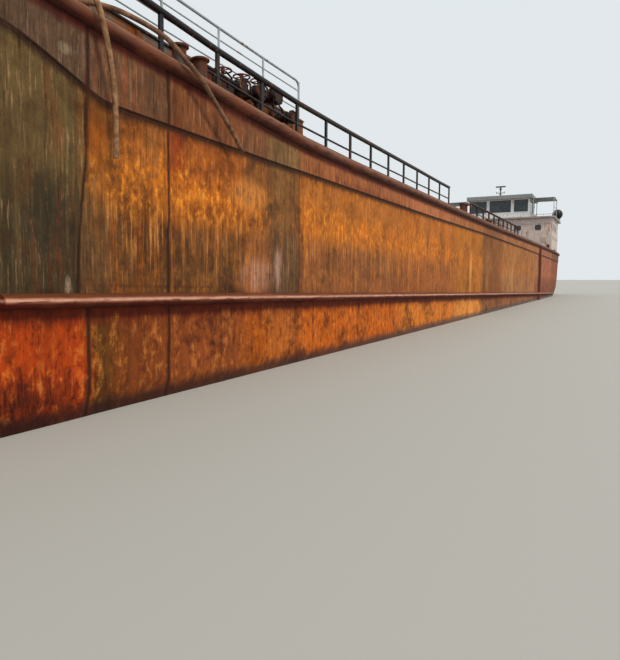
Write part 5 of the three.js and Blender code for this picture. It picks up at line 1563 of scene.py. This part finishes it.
def build_masts():
    white = rust_paint("mast_enamel", "#cfd2cf", "#8a4c22", 0.42, 0.5, 200)
    x = 18.05
    foot = deck_height(x + 0.12) + 0.0013
    mast = Shape()
    along_deck(mast, (x - 0.11, x + 0.11), (-0.11, 0.11), ON_DECK, 0.02)
    mast.turned((x, 0, foot + 0.01), UP, [(0, 0.06), (0.02, 0.05), (0.5, 0.044), (1.72, 0.026), (1.75, 0.02)], 20)
    mast.pipe([(x, -0.33, foot + 1.35), (x, 0.33, foot + 1.35)], 0.018, 14)
    for way in circle(BOW, PORT, 4, 0.5):
        side = UP.cross(way)
        base = Vector((x, 0, foot + 0.015))
        gusset = ((0.03, 0), (0.12, 0), (0.04, 0.13))
        mast.ring_strip([[base + way * a + side * off + UP * z for a, z in gusset] for off in (-0.005, 0.005)])
    for y in (-0.3, 0.3):
        mast.hoop((x, y, foot + 1.325), BOW, 0.012, 0.004, 12, 6)
    mast.pipe([(x, 0.05, foot + 0.1), (x, 0.035, foot + 1.7)], 0.006, 6)
    mast.make("foremast_tube", white, slot="white_paint", replaces=["foremast"])
    lamp_black = rust_paint("lamp_housing_enamel", "#1c1d1f", "#4a3020", 0.2, 0.45, 100)
    lamps = Shape()
    lamp = [(0, 0.045), (0.012, 0.045), (0.014, 0.03), (0.09, 0.03), (0.092, 0.042), (0.118, 0.03)]
    lamps.turned((x, 0, foot + 1.742), UP, lamp, 20)
    for y in (-0.24, 0.24):
        lamps.turned((x, y, foot + 1.365), UP, [(0, 0.022), (0.07, 0.022), (0.075, 0.016)], 16)
    lamps.make("foremast_lamps", lamp_black, slot="black_paint")
    stays = Shape()
    # Galvanized steel wire, drawn and laid: at 8 mm thick no strands show, only a dull grey shine
    wire = even_finish("stay_wire", linear("#6c6a66"), 0.45, 0.8)
    head = Vector((x, 0, foot + 1.6))
    for end_x, end_y in ((-1.0, 0.85), (-1.0, -0.85), (1.15, 0.0)):
        end = Vector((x + end_x, end_y, deck_height(x + end_x) + ON_DECK))
        stays.pipe([end + UP * 0.03, head], 0.004, 6)
        stays.hoop(end + UP * 0.025, PORT, 0.018, 0.006, 14, 6)
    stays.make("foremast_stays", wire, slot="gear_iron")

    worn = rust_paint("davit_enamel", "#8d8d84", "#7a4422", 0.5, 0.55, 300)
    x, y = 2.3, -1.5
    foot = deck_height(x - 0.16) + 0.0013
    pillar = Shape()
    along_deck(pillar, (x - 0.15, x + 0.15), (y - 0.15, y + 0.15), ON_DECK, 0.02)
    post = [(0, 0.085), (0.03, 0.072), (0.4, 0.07), (0.41, 0.07), (0.41, 0.034), (0.565, 0.034)]
    pillar.turned((x, y, foot + 0.01), UP, post, 32)
    for spot in pillar.around((x, y, foot + 0.015), UP, 0.155, 4):
        pillar.turned(spot, UP, [(0, 0.014), (0.02, 0.014)], 6)
    pillar.make("davit_post", worn, slot="gear_iron", replaces=["davit_pillar"])
    jib = Shape()
    seat = foot + 0.42 + 0.0003
    top = deck_height(x) + 1.18
    socket = [(0.0, 0.037), (0.0, 0.084), (0.03, 0.084), (0.035, 0.07), (top - seat - 0.02, 0.07), (top - seat, 0.055)]
    socket += [(top - seat, 0.0), (0.19, 0.0), (0.17, 0.037)]
    jib.turned((x, y, seat), UP, socket, 32)
    tip = Vector((x - 1.35, y, top + 0.09))
    jib.pipe([(x, y, top - 0.04), tip], [0.045, 0.034], 20)
    jib.pipe([(x, y, seat + 0.26), (x - 0.7425, y, top + 0.01)], 0.026, 16)
    jib.turned(tip - PORT * 0.03, PORT, [(0, 0.04), (0.008, 0.05), (0.052, 0.05), (0.06, 0.04)], 24)
    jib.pipe([tip + Vector((-0.012, 0, -0.04)), tip + Vector((-0.012, 0, -0.1))], 0.008, 8)
    jib.hoop(tip + Vector((-0.012, 0, -0.115)), PORT, 0.018, 0.007, 16, 8)
    wire_way = [(x + 0.02, y, top + 0.03), (x + 0.076, y, top - 0.06), (x + 0.076, y, seat + 0.3)]
    jib.pipe([tip + UP * 0.05, *wire_way], 0.005, 6)
    jib.pipe([(x + 0.06, y - 0.05, seat + 0.3), (x + 0.06, y + 0.05, seat + 0.3)], 0.012, 8)
    jib.make("davit_arm", worn, body="davit_jib", slot="gear_iron", replaces=["davit_jib"])


class TANKER_OT_masts(bpy.types.Operator):
    """Foremast with its lights and stays, and the hose davit"""

    bl_idname = "tanker.masts"
    bl_label = "Masts and davit"

    def execute(self, context):
        build_masts()
        return {"FINISHED"}


def build_top():
    slate = rust_paint("radar_mast_enamel", "#363d41", "#5a3a28", 0.35, 0.5, 150)
    x, y, seat = -16.3, -0.15, 6.43
    foot = 5.8753
    mast = Shape()
    mast.box((x - 0.09, y - 0.09, foot), (x + 0.09, y + 0.09, foot + 0.012))
    height = seat - foot
    tube = [(0, 0.044), (0.02, 0.034), (height - 0.09, 0.03), (height - 0.08, 0.055)]
    mast.turned((x, y, foot + 0.008), UP, tube, 20)
    mast.turned((x, y, seat - 0.074), UP, [(0, 0.05), (0.008, 0.06), (0.074, 0.06)], 24)
    mast.pipe([(x, y, seat - 0.005), (x, y, seat + 0.04)], 0.013, 16)
    yard = seat - 0.23
    mast.pipe([(x, y - 0.22, yard), (x, y + 0.22, yard)], 0.014, 14)
    for side in (-0.2, 0.2):
        mast.turned((x, y + side, yard + 0.01), UP, [(0, 0.02), (0.05, 0.02), (0.055, 0.012)], 14)
        mast.pipe([(x, y + side * 0.55, yard), (x, y, yard - 0.14)], 0.007, 8)
    mast.pipe([(x - 0.04, y, foot + 0.01), (x - 0.036, y, seat - 0.08)], 0.006, 6)
    mast.make("radar_mast_tube", slate, slot="grey_paint", replaces=["radar_mast"])
    scanner = Shape()
    plinth = [(0.0003, 0.015), (0.0003, 0.04), (0.05, 0.036), (0.07, 0.03), (0.07, 0.0), (0.046, 0.0), (0.046, 0.015)]
    scanner.turned((x, y, seat), UP, plinth, 24)
    profile = [(-0.035, 0.062), (-0.022, 0.125), (0.0, 0.129), (0.024, 0.118), (0.035, 0.09), (0.03, 0.066)]
    shapes = []
    for along, scale in ((-0.25, 0.7), (-0.24, 0.95), (-0.22, 1.0), (0.22, 1.0), (0.24, 0.95), (0.25, 0.7)):
        shapes.append([(x + u * scale, y + along, seat + 0.095 + (v - 0.095) * scale) for u, v in profile])
    scanner.ring_strip(shapes)
    scanner.make(
        "radar_scanner_bar", slate, body="radar_scanner", slot="grey_paint", replaces=["radar_scanner"], smooth=50
    )

    black = rust_paint("dull_ball_enamel", colours().rail_paint, "#4a3428", 0.15, 0.5, 100)
    low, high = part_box("signal_ball")
    radius = 0.255
    centre = Vector(((low.x + high.x) / 2, (low.y + high.y) / 2, high.z - radius))
    ball = Shape()
    bends = spread(0, pi, 18)
    profile = [(radius * (1 - cos(b)), max(0.002, (radius - 0.0005) * sin(b))) for b in bends]
    ball.turned(centre - UP * radius, UP, profile, 36)
    post = Vector((centre.x, centre.y, low.z))
    ball.pipe([post, centre], 0.018, 14)
    ball.turned(post, UP, [(0, 0.05), (0.012, 0.05), (0.02, 0.03)], 20)
    for axis in circle(BOW, PORT, 6)[:3]:
        ball.hoop(centre, axis, radius - 0.0015, 0.0035, 40, 6)
    ball.make("signal_ball_and_post", black, slot="black_paint", replaces=["signal_ball"], smooth=30)

    coal = rust_paint("sooted_funnel_enamel", "#343c46", "#6a3e22", 0.42, 0.55, 250)
    low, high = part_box("funnel")
    casing = Shape()
    foot = low.z

    def oval(x0, x1, half, z):
        """A ring with round corners in plan."""
        outline = rounded_rectangle(((x1 - x0) / 2, half), 0.14, 5)
        return [((x0 + x1) / 2 + u, v, z) for (u, v), _ in outline]

    rows = [
        *((-18.05, -17.33, 0.42, 0), (-18.05, -17.387, 0.388, 0.78), (-18.055, -17.385, 0.393, 0.785)),
        *((-18.055, -17.39, 0.39, 0.83), (-18.05, -17.392, 0.385, 0.835), (-18.05, -17.4, 0.38, 0.945)),
        (-18.04, -17.41, 0.37, 0.95),
    ]
    casing.ring_strip([oval(x0, x1, half, foot + rise) for x0, x1, half, rise in rows])
    for y in (-0.17, 0.17):
        casing.pipe([(-17.72, y, foot + 0.9), (-17.732, y, foot + 1.0), (-17.755, y, foot + 1.16)], 0.062, 24)
        casing.hoop((-17.752, y, foot + 1.15), (-0.14, 0, 1), 0.061, 0.006, 24, 6)
        casing.turned((-17.722, y, foot + 0.94), UP, [(0, 0.085), (0.02, 0.085), (0.05, 0.064)], 24)
    for side in (-1, 1):
        for k in range(6):
            z = foot + 0.42 + k * 0.045
            wall = 0.42 - 0.041 * (z - foot)
            span = sorted((side * (wall - 0.004), side * (wall + 0.012)))
            casing.box((-17.9, span[0], z), (-17.55, span[1], z + 0.018))
    casing.make("funnel_casing", coal, slot="black_paint", replaces=["funnel"], smooth=35)


class TANKER_OT_top(bpy.types.Operator):
    """Radar mast, scanner, signal ball and funnel"""

    bl_idname = "tanker.top"
    bl_label = "Radar, ball and funnel"

    def execute(self, context):
        build_top()
        return {"FINISHED"}


def window_glass():
    """Float glass, a little smoked and green at its edges, clear enough to show what is inside. Salt dries on it in
    films 111 mm wide."""
    made, put = new_material("smoked_float_glass")
    film = put(NOISE, Vector=put(PLACE).outputs["Object"], Scale=1000 / 111.111, Detail=5.0)
    salt = put(RAMP, film, stops=[(0.4, linear("#46535a")), (0.7, linear("#6e7c82"))])
    rough = put(SPAN, film, 0.4, 0.7, 0.04, 0.22)
    put(SURFACE, put(SHADER, Base_Color=salt, Roughness=rough, IOR=1.52, Transmission_Weight=0.85))
    return made


def curtain_cotton():
    """Woven cotton, faded by the sun. Its weave is a fifth of a millimetre, and is drawn 33 mm coarse so that it shows
    through the glass."""
    made, put = new_material("faded_cotton_curtain")
    weave = put(NOISE, Vector=put(PLACE).outputs["Object"], Scale=1000 / 33.333, Detail=4.0)
    threads = put(RAMP, weave, stops=[(0.3, linear("#8e8178")), (0.7, linear("#b0a298"))])
    put(SURFACE, put(SHADER, Base_Color=threads, Roughness=0.9))
    return made


# Windows: the wall that they are in, their middle along it and above the bottom, and their half sizes
Window = namedtuple("Window", "wall along z half")
WHEELHOUSE_WINDOWS = [
    Window("fore", -1.005, 5.335, (0.385, 0.305)),
    Window("fore", 0.05, 5.335, (0.53, 0.305)),
    Window("fore", 1.06, 5.335, (0.34, 0.305)),
    Window("port", -15.815, 5.355, (0.565, 0.285)),
    Window("starboard", -15.815, 5.355, (0.565, 0.285)),
    Window("aft", 0.7, 5.365, (0.4, 0.275)),
    Window("aft", -0.7, 5.365, (0.4, 0.275)),
]
HOUSE_WINDOWS = [
    *(Window("fore", y, 4.21, (0.15, 0.13)) for y in (-1.9, -0.95, 0.0, 0.95, 1.9)),
    *(Window(wall, x, 4.19, (0.14, 0.13)) for wall in ("port", "starboard") for x in (-16.9, -16.2, -15.55)),
    *(Window("aft", y, 4.19, (0.15, 0.13)) for y in (-1.15, 1.15)),
]
# Outer faces of the two houses' walls, without the hinge pins that stand out of them
WALL_BOXES = {
    "lower_house": (Vector((-18.1, -2.56, 0)), Vector((-15.12, 2.56, 0))),
    "wheelhouse": (Vector((-17.1, -1.475, 0)), Vector((-15.15, 1.475, 0))),
}
WALL_WAYS = {"fore": BOW, "aft": -BOW, "port": PORT, "starboard": -PORT}
WALL = 0.03  # thickness of the houses' walls


def on_wall(node, window, off=0.0):
    """The middle of a window, off its house's wall, and the ways right and out of that wall."""
    low, high = WALL_BOXES[node]
    out = WALL_WAYS[window.wall]
    face = high if out.x + out.y > 0 else low
    middle = (face.x, window.along, window.z) if out.x else (window.along, face.y, window.z)
    return Vector(middle) + out * off, UP.cross(out), out


def build_houses():
    white = rust_paint("wheelhouse_enamel", colours().house_white, "#94623c", 0.24, 0.5, 300)
    pink = rust_paint("faded_house_enamel", "#cdbfb8", "#9a6648", 0.34, 0.6, 400)
    roof = rust_paint("roof_enamel", "#8a9092", "#7a5a40", 0.3, 0.62, 400)
    deck = rust_paint("boat_deck_enamel", "#a3a09d", "#85502e", 0.4, 0.65, 300)
    dress(["lower_house"], pink, 0.006)
    dress(["boat_deck"], deck, 0.006)
    dress(["wheelhouse"], white, 0.006)
    dress(["wheelhouse_roof"], roof, 0.02)
    glass = window_glass()
    # Moulded rubber, matt black and even
    seal = even_finish("black_window_rubber", linear("#17181a"), 0.7)
    for node, windows, enamel, slot in (
        ("wheelhouse", WHEELHOUSE_WINDOWS, white, "white_paint"),
        ("lower_house", HOUSE_WINDOWS, pink, "house_paint"),
    ):
        frames, seals, panes = Shape(), Shape(), Shape()
        corner = 0.035 if node == "wheelhouse" else 0.06
        for window in windows:
            half = window.half
            middle, right, out = on_wall(node, window, -0.001)
            inside = middle - out * (WALL * 0.6)
            frames.rim(middle, right, (half[0] - 0.002, half[1] - 0.002), 0.03, 0.012, corner)
            seals.rim(inside, right, (half[0] - 0.016, half[1] - 0.016), 0.015, 0.016, corner)
            panes.plate(inside + out * 0.004, right, (half[0] - 0.008, half[1] - 0.008), 0.005, corner)
            brow = middle + out * 0.012 + UP * (half[1] + 0.05)
            reach = right * (half[0] + 0.05)
            drip = UP * 0.012
            edge = [brow - reach - drip, brow - reach, brow + reach, brow + reach - drip]
            frames.pipe(rounded(edge, 0.01, 2), 0.008, 6)
        frames.make(node + "_window_frames", enamel, slot=slot)
        seals.make(node + "_window_seals", seal, slot="black_paint")
        panes.make(node + "_window_panes", glass)

    trims = Shape()
    low, high = WALL_BOXES["lower_house"]
    for z, reach in ((4.665, 0.012), (4.40, 0.006)):
        (x0, y0, _), (x1, y1, _) = low, high
        x0, y0, x1, y1 = x0 - reach, y0 - reach, x1 + reach, y1 + reach
        outline = [(x1, y1), (x0, y1), (x0, y0), (x1, y0)]
        for (x0, y0), (x1, y1) in zip(outline, outline[1:] + outline[:1]):
            trims.pipe([(x0, y0, z), (x1, y1, z)], 0.011, 8)
    for y in (-1.4, -0.5, 0.5, 1.4):
        foot = deck_height(high.x) + 0.004
        trims.pipe([(high.x + 0.008, y, foot), (high.x + 0.008, y, 4.02)], 0.009, 8)
    for side in (1, -1):
        y, bar_z = side * high.y, 3.75
        bar_y = side * (high.y + 0.047)
        fore, aft = high.x - 0.35, low.x + 0.4
        grab = [(fore, y, bar_z), (fore, bar_y, bar_z), (aft, bar_y, bar_z), (aft, y, bar_z)]
        trims.pipe(rounded(grab, 0.03), 0.011, 10)
        for k in range(4):
            at = low.x + 0.9 + k * 0.5
            trims.pipe([(at, y, bar_z), (at, bar_y, bar_z)], 0.008, 8)
    for y in (-2.2, 2.2):
        z = 3.62
        trims.plate((high.x - 0.002, y, z), PORT, (0.12, 0.16), 0.014, 0.02)
        for k in range(5):
            slat = z - 0.12 + k * 0.052
            trims.box((high.x + 0.01, y - 0.1, slat), (high.x + 0.026, y + 0.1, slat + 0.02))
    trims.make("lower_house_trim", pink, slot="house_paint")

    ladder = Shape()
    foot, head = deck_height(low.x - 0.1) + 0.004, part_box("boat_deck")[1].z - 0.06
    stiles, spacing = (0.2, 0.44), 0.14
    for y in stiles:
        stile = [(low.x - 0.002, y, head - 0.12), (low.x - 0.07, y, head - 0.16), (low.x - 0.09, y, foot)]
        ladder.pipe(stile, 0.012, 12)
        ladder.turned((low.x - 0.09, y, foot), UP, [(0, 0.028), (0.008, 0.028)], 14)
    rung = foot + spacing
    while rung < head - 0.2:
        ladder.pipe([(low.x - 0.082, y, rung) for y in stiles], 0.009, 10)
        rung += spacing
    ladder.make("boat_deck_ladder", pink, slot="house_paint")

    helm_grey = rust_paint("console_enamel", "#6a7278", "#5a4a3c", 0.1, 0.45, 200)
    inside = Shape()
    x, z = -15.3, 4.76
    console = [(0, 0), (0, 0.36), (-0.08, 0.4), (-0.3, 0.3), (-0.3, 0)]
    chair_back = [(-0.86, 0.3), (-0.89, 0.62), (-0.93, 0.62), (-0.9, 0.3)]
    seat = [(0, 0.12), (0.01, 0.12), (0.02, 0.025), (0.26, 0.025), (0.27, 0.12), (0.3, 0.14), (0.33, 0.13)]
    inside.ring_strip([[(x + u, y, z + v) for u, v in console] for y in (-0.75, 0.75)])
    for y in (-0.55, -0.35, 0.32, 0.52):
        inside.turned((x - 0.2, y, z + 0.35), (-0.35, 0, 1), [(0, 0.04), (0.02, 0.04)], 16)
    inside.pipe([(x - 0.28, 0, z + 0.28), (x - 0.4, 0, z + 0.34)], 0.018, 12)
    inside.handwheel((x - 0.41, 0, z + 0.345), (-0.9, 0, 0.45), 0.17, 0.012, 6)
    inside.turned((x - 0.72, 0, z), UP, seat, 20)
    inside.ring_strip([[(x + u, y, z + v) for u, v in chair_back] for y in (-0.13, 0.13)])
    inside.box((-17.05, -1.2, z), (-16.7, 1.2, z + 0.3))
    inside.box((-17.06, -1.42, z + 0.3), (-16.68, 1.25, z + 0.325))
    inside.make("helm_and_chart_table", helm_grey, slot="grey_paint")
    curtains = Shape()
    for window in HOUSE_WINDOWS:
        middle, right, out = on_wall("lower_house", window, -WALL - 0.03)
        folds = 12
        half_wide, half_high = window.half[0] + 0.03, window.half[1] + 0.03
        rings = []
        for k in range(folds * 2 + 1):
            wave = out * (0.008 * sin(k * pi / 2 + 0.4))
            spot = middle + right * (half_wide * (k / folds - 1)) + wave
            section = ((-half_high, 0), (half_high, 0), (half_high, 0.003), (-half_high, 0.003))
            rings.append([spot + UP * v + out * d for v, d in section])
        curtains.ring_strip(rings)
    for y0, y1 in ((-1.42, -1.12), (1.1, 1.42), (-0.28, 0.28)):
        rings = []
        for k, y in enumerate(spread(y0, y1, 12)):
            x = -17.05 + 0.012 * sin(k * 1.3)
            rings.append([(x, y, 5.0), (x, y, 5.66), (x + 0.003, y, 5.66), (x + 0.003, y, 5.0)])
        curtains.ring_strip(rings)
    curtains.make("house_curtains", curtain_cotton())

    door_trim(white, pink, glass)


class TANKER_OT_houses(bpy.types.Operator):
    """Deckhouse and wheelhouse walls, windows, gutters and the helm inside"""

    bl_idname = "tanker.houses"
    bl_label = "Houses"

    def execute(self, context):
        build_houses()
        return {"FINISHED"}


def door_trim(white, pink, glass):
    """The finish of the four doors, and what is fixed to them and round them."""
    worn = rust_paint("worn_door_enamel", "#79837f", "#7a4a2c", 0.36, 0.5, 300)
    dress([kind + tag for kind in ("bridge_door_", "house_door_") for _, tag in SIDES], worn, 0.003)
    leaf_x, leaf_y = -18.0975, 1.697  # the house doors' outer face, and their middle
    for side, tag in SIDES:
        rim, pane, braces = Shape(), Shape(), Shape()
        face = Vector((-16.753, side * 1.4735, 5.37))
        rim.rim(face, -side * BOW, (0.11, 0.16), 0.022, 0.012, 0.03)
        pane.plate(face, -side * BOW, (0.112, 0.162), 0.004, 0.03)
        rim.make("bridge_door_frame_" + tag, worn, body="bridge_door_" + tag, slot="house_paint")
        pane.make("bridge_door_glass_" + tag, glass, body="bridge_door_" + tag)
        middle = side * leaf_y
        braces.rim((leaf_x, middle, 3.5425), -PORT, (0.148, 0.424), 0.022, 0.009, 0.02)
        for z in (3.3, 3.8):
            braces.box((leaf_x - 0.0105, middle - 0.15, z - 0.012), (leaf_x, middle + 0.15, z + 0.012))
        for z in (3.2, 3.9):
            clip = Vector((leaf_x, side * 1.835, z))
            braces.turned(clip, -BOW, [(0, 0.014), (0.022, 0.014), (0.024, 0.008)], 14)
            braces.pipe([clip - BOW * 0.018, clip + Vector((-0.022, -side * 0.05, 0.02))], 0.006, 8)
        braces.make("house_door_braces_" + tag, worn, body="house_door_" + tag, slot="house_paint")

    frames = Shape()
    for low_z, high_z in ((4.014, 4.038), (3.048, 3.071)):
        frames.box((-18.109, 1.5, low_z), (-18.099, 1.918, high_z))
    frames.box((-18.109, 1.894, 3.048), (-18.099, 1.918, 4.038))
    both_sides(frames, "house_door_frame", pink, "house_paint")
    frames = Shape()
    for low_z, high_z in ((5.652, 5.672), (4.752, 4.762)):
        frames.box((-16.95, 1.474, low_z), (-16.542, 1.484, high_z))
    frames.box((-16.56, 1.474, 4.752), (-16.542, 1.484, 5.672))
    both_sides(frames, "bridge_door_coaming", white, "white_paint")


def build_wings():
    sheet = rust_paint("galvanized_awning_sheet", "#a9b4b8", "#7a5636", 0.28, 0.45, 200, metallic=0.3)
    low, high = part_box("wing_awning_port")
    awning = Shape()
    waves = 34
    top, thick, depth = high.z - 0.004, 0.004, 0.012
    rings = []
    for k, x in enumerate(spread(low.x, high.x, waves * 4)):
        lift = -depth + depth * sin(k * pi / 2)
        z = top + lift * 0.5
        rings.append([(x, low.y + 0.001, z - thick), (x, high.y, z - thick), (x, high.y, z), (x, low.y + 0.001, z)])
    awning.ring_strip(rings)
    foot, head = low.z, top - 0.014
    xs, ys = (low.x + 0.04, high.x - 0.04), (low.y + 0.03, high.y - 0.03)
    for x in xs:
        for y in ys:
            awning.turned((x, y, foot), UP, [(0, 0.035), (0.008, 0.035), (0.01, 0.016), (head - foot, 0.016)], 16)
        awning.pipe([(x, low.y + 0.005, head), (x, high.y - 0.005, head)], 0.012, 8)
    for y in ys:
        awning.pipe([(xs[0], y, head), (xs[1], y, head)], 0.01, 8)
    for rise in (0.24, 0.48):
        awning.pipe([(xs[0], ys[1], foot + rise), (xs[1], ys[1], foot + rise)], 0.011, 12)
    both_sides(awning, "wing_awning_sheet", sheet, "grey_paint", ["wing_awning"], 60)

    pale = rust_paint("boat_rail_enamel", "#c2c7c6", "#86502e", 0.3, 0.5, 120)
    rail = Shape()
    low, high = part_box("boat_deck_rail")
    foot, height = low.z, 0.48
    side, aft, fore = high.y - 0.012, low.x + 0.012, high.x - 0.012
    side_xs = (fore, (fore + aft) / 2, aft)
    posts = [(x, side) for x in side_xs] + [(aft, y) for y in (1.8, 0.9, 0.0, -0.9, -1.8)]
    posts += [(x, -side) for x in reversed(side_xs)]
    for x, y in posts:
        rail.turned((x, y, foot), UP, [(0, 0.03), (0.008, 0.03), (0.01, 0.012), (height - 0.002, 0.012)], 14)
    for level, radius in ((height, 0.0145), (height / 2, 0.009), (height * 0.76, 0.007)):
        corners = [(fore, side), (aft, side), (aft, -side), (fore, -side)]
        rail.pipe(rounded([(x, y, foot + level) for x, y in corners], 0.05), radius, 12)
    rail.make("boat_deck_guard_rail", pale, slot="white_paint", replaces=["boat_deck_rail"])

    orange = rust_paint("faded_life_ring", "#c2562a", "#8a5a3a", 0.2, 0.6, 100)
    life_rings, bands = Shape(), Shape()
    ring_radius, band_width = 0.15, 0.04
    for middle in (Vector((aft + 0.05, y, foot + 0.25)) for y in (1.35, -1.35)):
        life_rings.hoop(middle, BOW, ring_radius, 0.036, 40, 14)
        for out in circle(PORT, UP, 4, 0.5):
            way = BOW.cross(out)
            start = middle + out * ring_radius - way * band_width / 2
            bands.turned(start, way, [(0, 0.0375), (band_width, 0.0375)], 14)
    life_rings.make("life_rings", orange)
    # Woven cotton band under thick paint, pale and matt
    bands.make("life_ring_bands", even_finish("life_ring_band", linear("#c9c6bd"), 0.6))


class TANKER_OT_wings(bpy.types.Operator):
    """Corrugated awnings over the bridge wings, rails of the boat deck, and life rings"""

    bl_idname = "tanker.wings"
    bl_label = "Awnings and boat deck"

    def execute(self, context):
        build_wings()
        return {"FINISHED"}


def build_stern():
    bronze = rust_paint("dull_propeller_bronze", "#8f7138", "#4e6a54", 0.45, 0.38, 120, metallic=0.85)
    fouled = rust_paint("fouled_stern_steel", "#4e3428", "#7a4a2a", 0.55, 0.75, 300)
    shaft_y, shaft_z, prop_x = 1.3, 0.475, -17.45
    root, tip, stations = 0.075, 0.388, 12  # of a propeller's blade
    for side, tag in SIDES:
        y = side * shaft_y
        hub = Vector((prop_x, y, shaft_z))
        wheel = Shape()
        boss = [(-0.19, 0.004), (-0.185, 0.028), (-0.15, 0.058), (-0.108, 0.074), (-0.106, 0.078), (-0.05, 0.092)]
        boss += [(0.05, 0.094), (0.105, 0.09), (0.11, 0.06), (0.11, 0.045), (2.84, 0.045), (2.84, 0.02)]
        wheel.turned(hub, BOW, boss, 32)
        for blade in range(4):
            start = pi / 4 + blade * pi / 2
            rings = []
            for k, r in enumerate(spread(root, tip, stations)):
                reach = (r - root) / (tip - root)
                chord = 0.12 + 0.24 * sin(pi * min(1.0, reach * 0.78 + 0.1)) ** 1.1
                chord *= sqrt(max(0.0, 1 - reach**6)) if k < stations else 0.28
                pitch = atan(0.52 / (2 * pi * r)) * side
                thick = 0.022 * (1 - reach) + 0.006
                skew = -0.25 * reach**2 * side
                ring = []
                for turn in angles(16):
                    along, off = chord / 2 * cos(turn), thick / 2 * sin(turn)
                    axial = along * sin(pitch) + off * cos(pitch)
                    arc = (along * cos(pitch) - off * sin(pitch)) / r
                    angle = start + skew + arc
                    ring.append(hub + Vector((axial, r * cos(angle), r * sin(angle))))
                rings.append(ring)
            wheel.ring_strip(rings)
        wheel.make(
            "propeller_wheel_" + tag, bronze, body="propeller_" + tag, slot="bronze", replaces=["propeller_" + tag]
        )

        blade = Shape()
        low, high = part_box("rudder_" + tag)
        x = -17.98
        rings = []
        for k, z in enumerate(spread(low.z, 0.905, 8)):
            squeeze = 0.94 if k in (0, 8) else 1.0
            ring = []
            for turn in angles(28):
                u = -0.16 + 0.31 * cos(turn)
                v = 0.034 * sin(turn) * (1.0 if u > -0.16 else max(0.15, 1 - ((-0.16 - u) / 0.31) ** 1.3 * 0.85))
                ring.append((x + u * squeeze, y + v * squeeze, z))
            rings.append(ring)
        blade.ring_strip(rings)
        for z in (0.25, 0.5, 0.75):
            blade.box((x - 0.36, y - 0.0345, z - 0.01), (x + 0.05, y + 0.0345, z + 0.01))
        blade.pipe([(x, y, 0.7), (x, y, high.z)], 0.045, 24)
        blade.flange((x, y, 0.9), UP, 0.085, 0.025, 8)
        blade.make(
            "rudder_blade_" + tag, fouled, body="rudder_" + tag, slot="hull_steel", replaces=["rudder_" + tag],
            smooth=30,
        )
    dress(["shaft_bracket_port", "shaft_bracket_starboard"], fouled, 0.006)


class TANKER_OT_stern(bpy.types.Operator):
    """Propellers with their shafts, rudders and shaft brackets"""

    bl_idname = "tanker.stern"
    bl_label = "Stern gear"

    def execute(self, context):
        build_stern()
        return {"FINISHED"}


OPERATORS = [
    TANKER_OT_stage,
    TANKER_OT_hoses,
    TANKER_OT_plating,
    TANKER_OT_bars,
    TANKER_OT_rails,
    TANKER_OT_deck,
    TANKER_OT_lids,
    TANKER_OT_pipes,
    TANKER_OT_trunk,
    TANKER_OT_windlass,
    TANKER_OT_masts,
    TANKER_OT_houses,
    TANKER_OT_wings,
    TANKER_OT_top,
    TANKER_OT_stern,
]


class TANKER_PT_panel(bpy.types.Panel):
    """Lists the tanker's groups of pieces"""

    bl_idname = "TANKER_PT_panel"
    bl_label = "Tanker"
    bl_space_type = "VIEW_3D"
    bl_region_type = "UI"
    bl_category = "Tanker"

    def draw(self, context):
        for group in (context.scene.tanker_sizes, context.scene.tanker_colours):
            for name in group.__annotations__:
                self.layout.prop(group, name)
        for operator in OPERATORS:
            self.layout.operator(operator.bl_idname)


CLASSES = [TankerColours, TankerSizes, *OPERATORS, TANKER_PT_panel]


def register():
    for cls in CLASSES:
        bpy.utils.register_class(cls)
    bpy.types.Scene.tanker_colours = bpy.props.PointerProperty(type=TankerColours)
    bpy.types.Scene.tanker_sizes = bpy.props.PointerProperty(type=TankerSizes)


def unregister():
    del bpy.types.Scene.tanker_sizes
    del bpy.types.Scene.tanker_colours
    for cls in reversed(CLASSES):
        bpy.utils.unregister_class(cls)


def main():
    register()
    for operator in OPERATORS:
        group, name = operator.bl_idname.split(".")
        getattr(getattr(bpy.ops, group), name)()


if __name__ == "__main__":
    main()
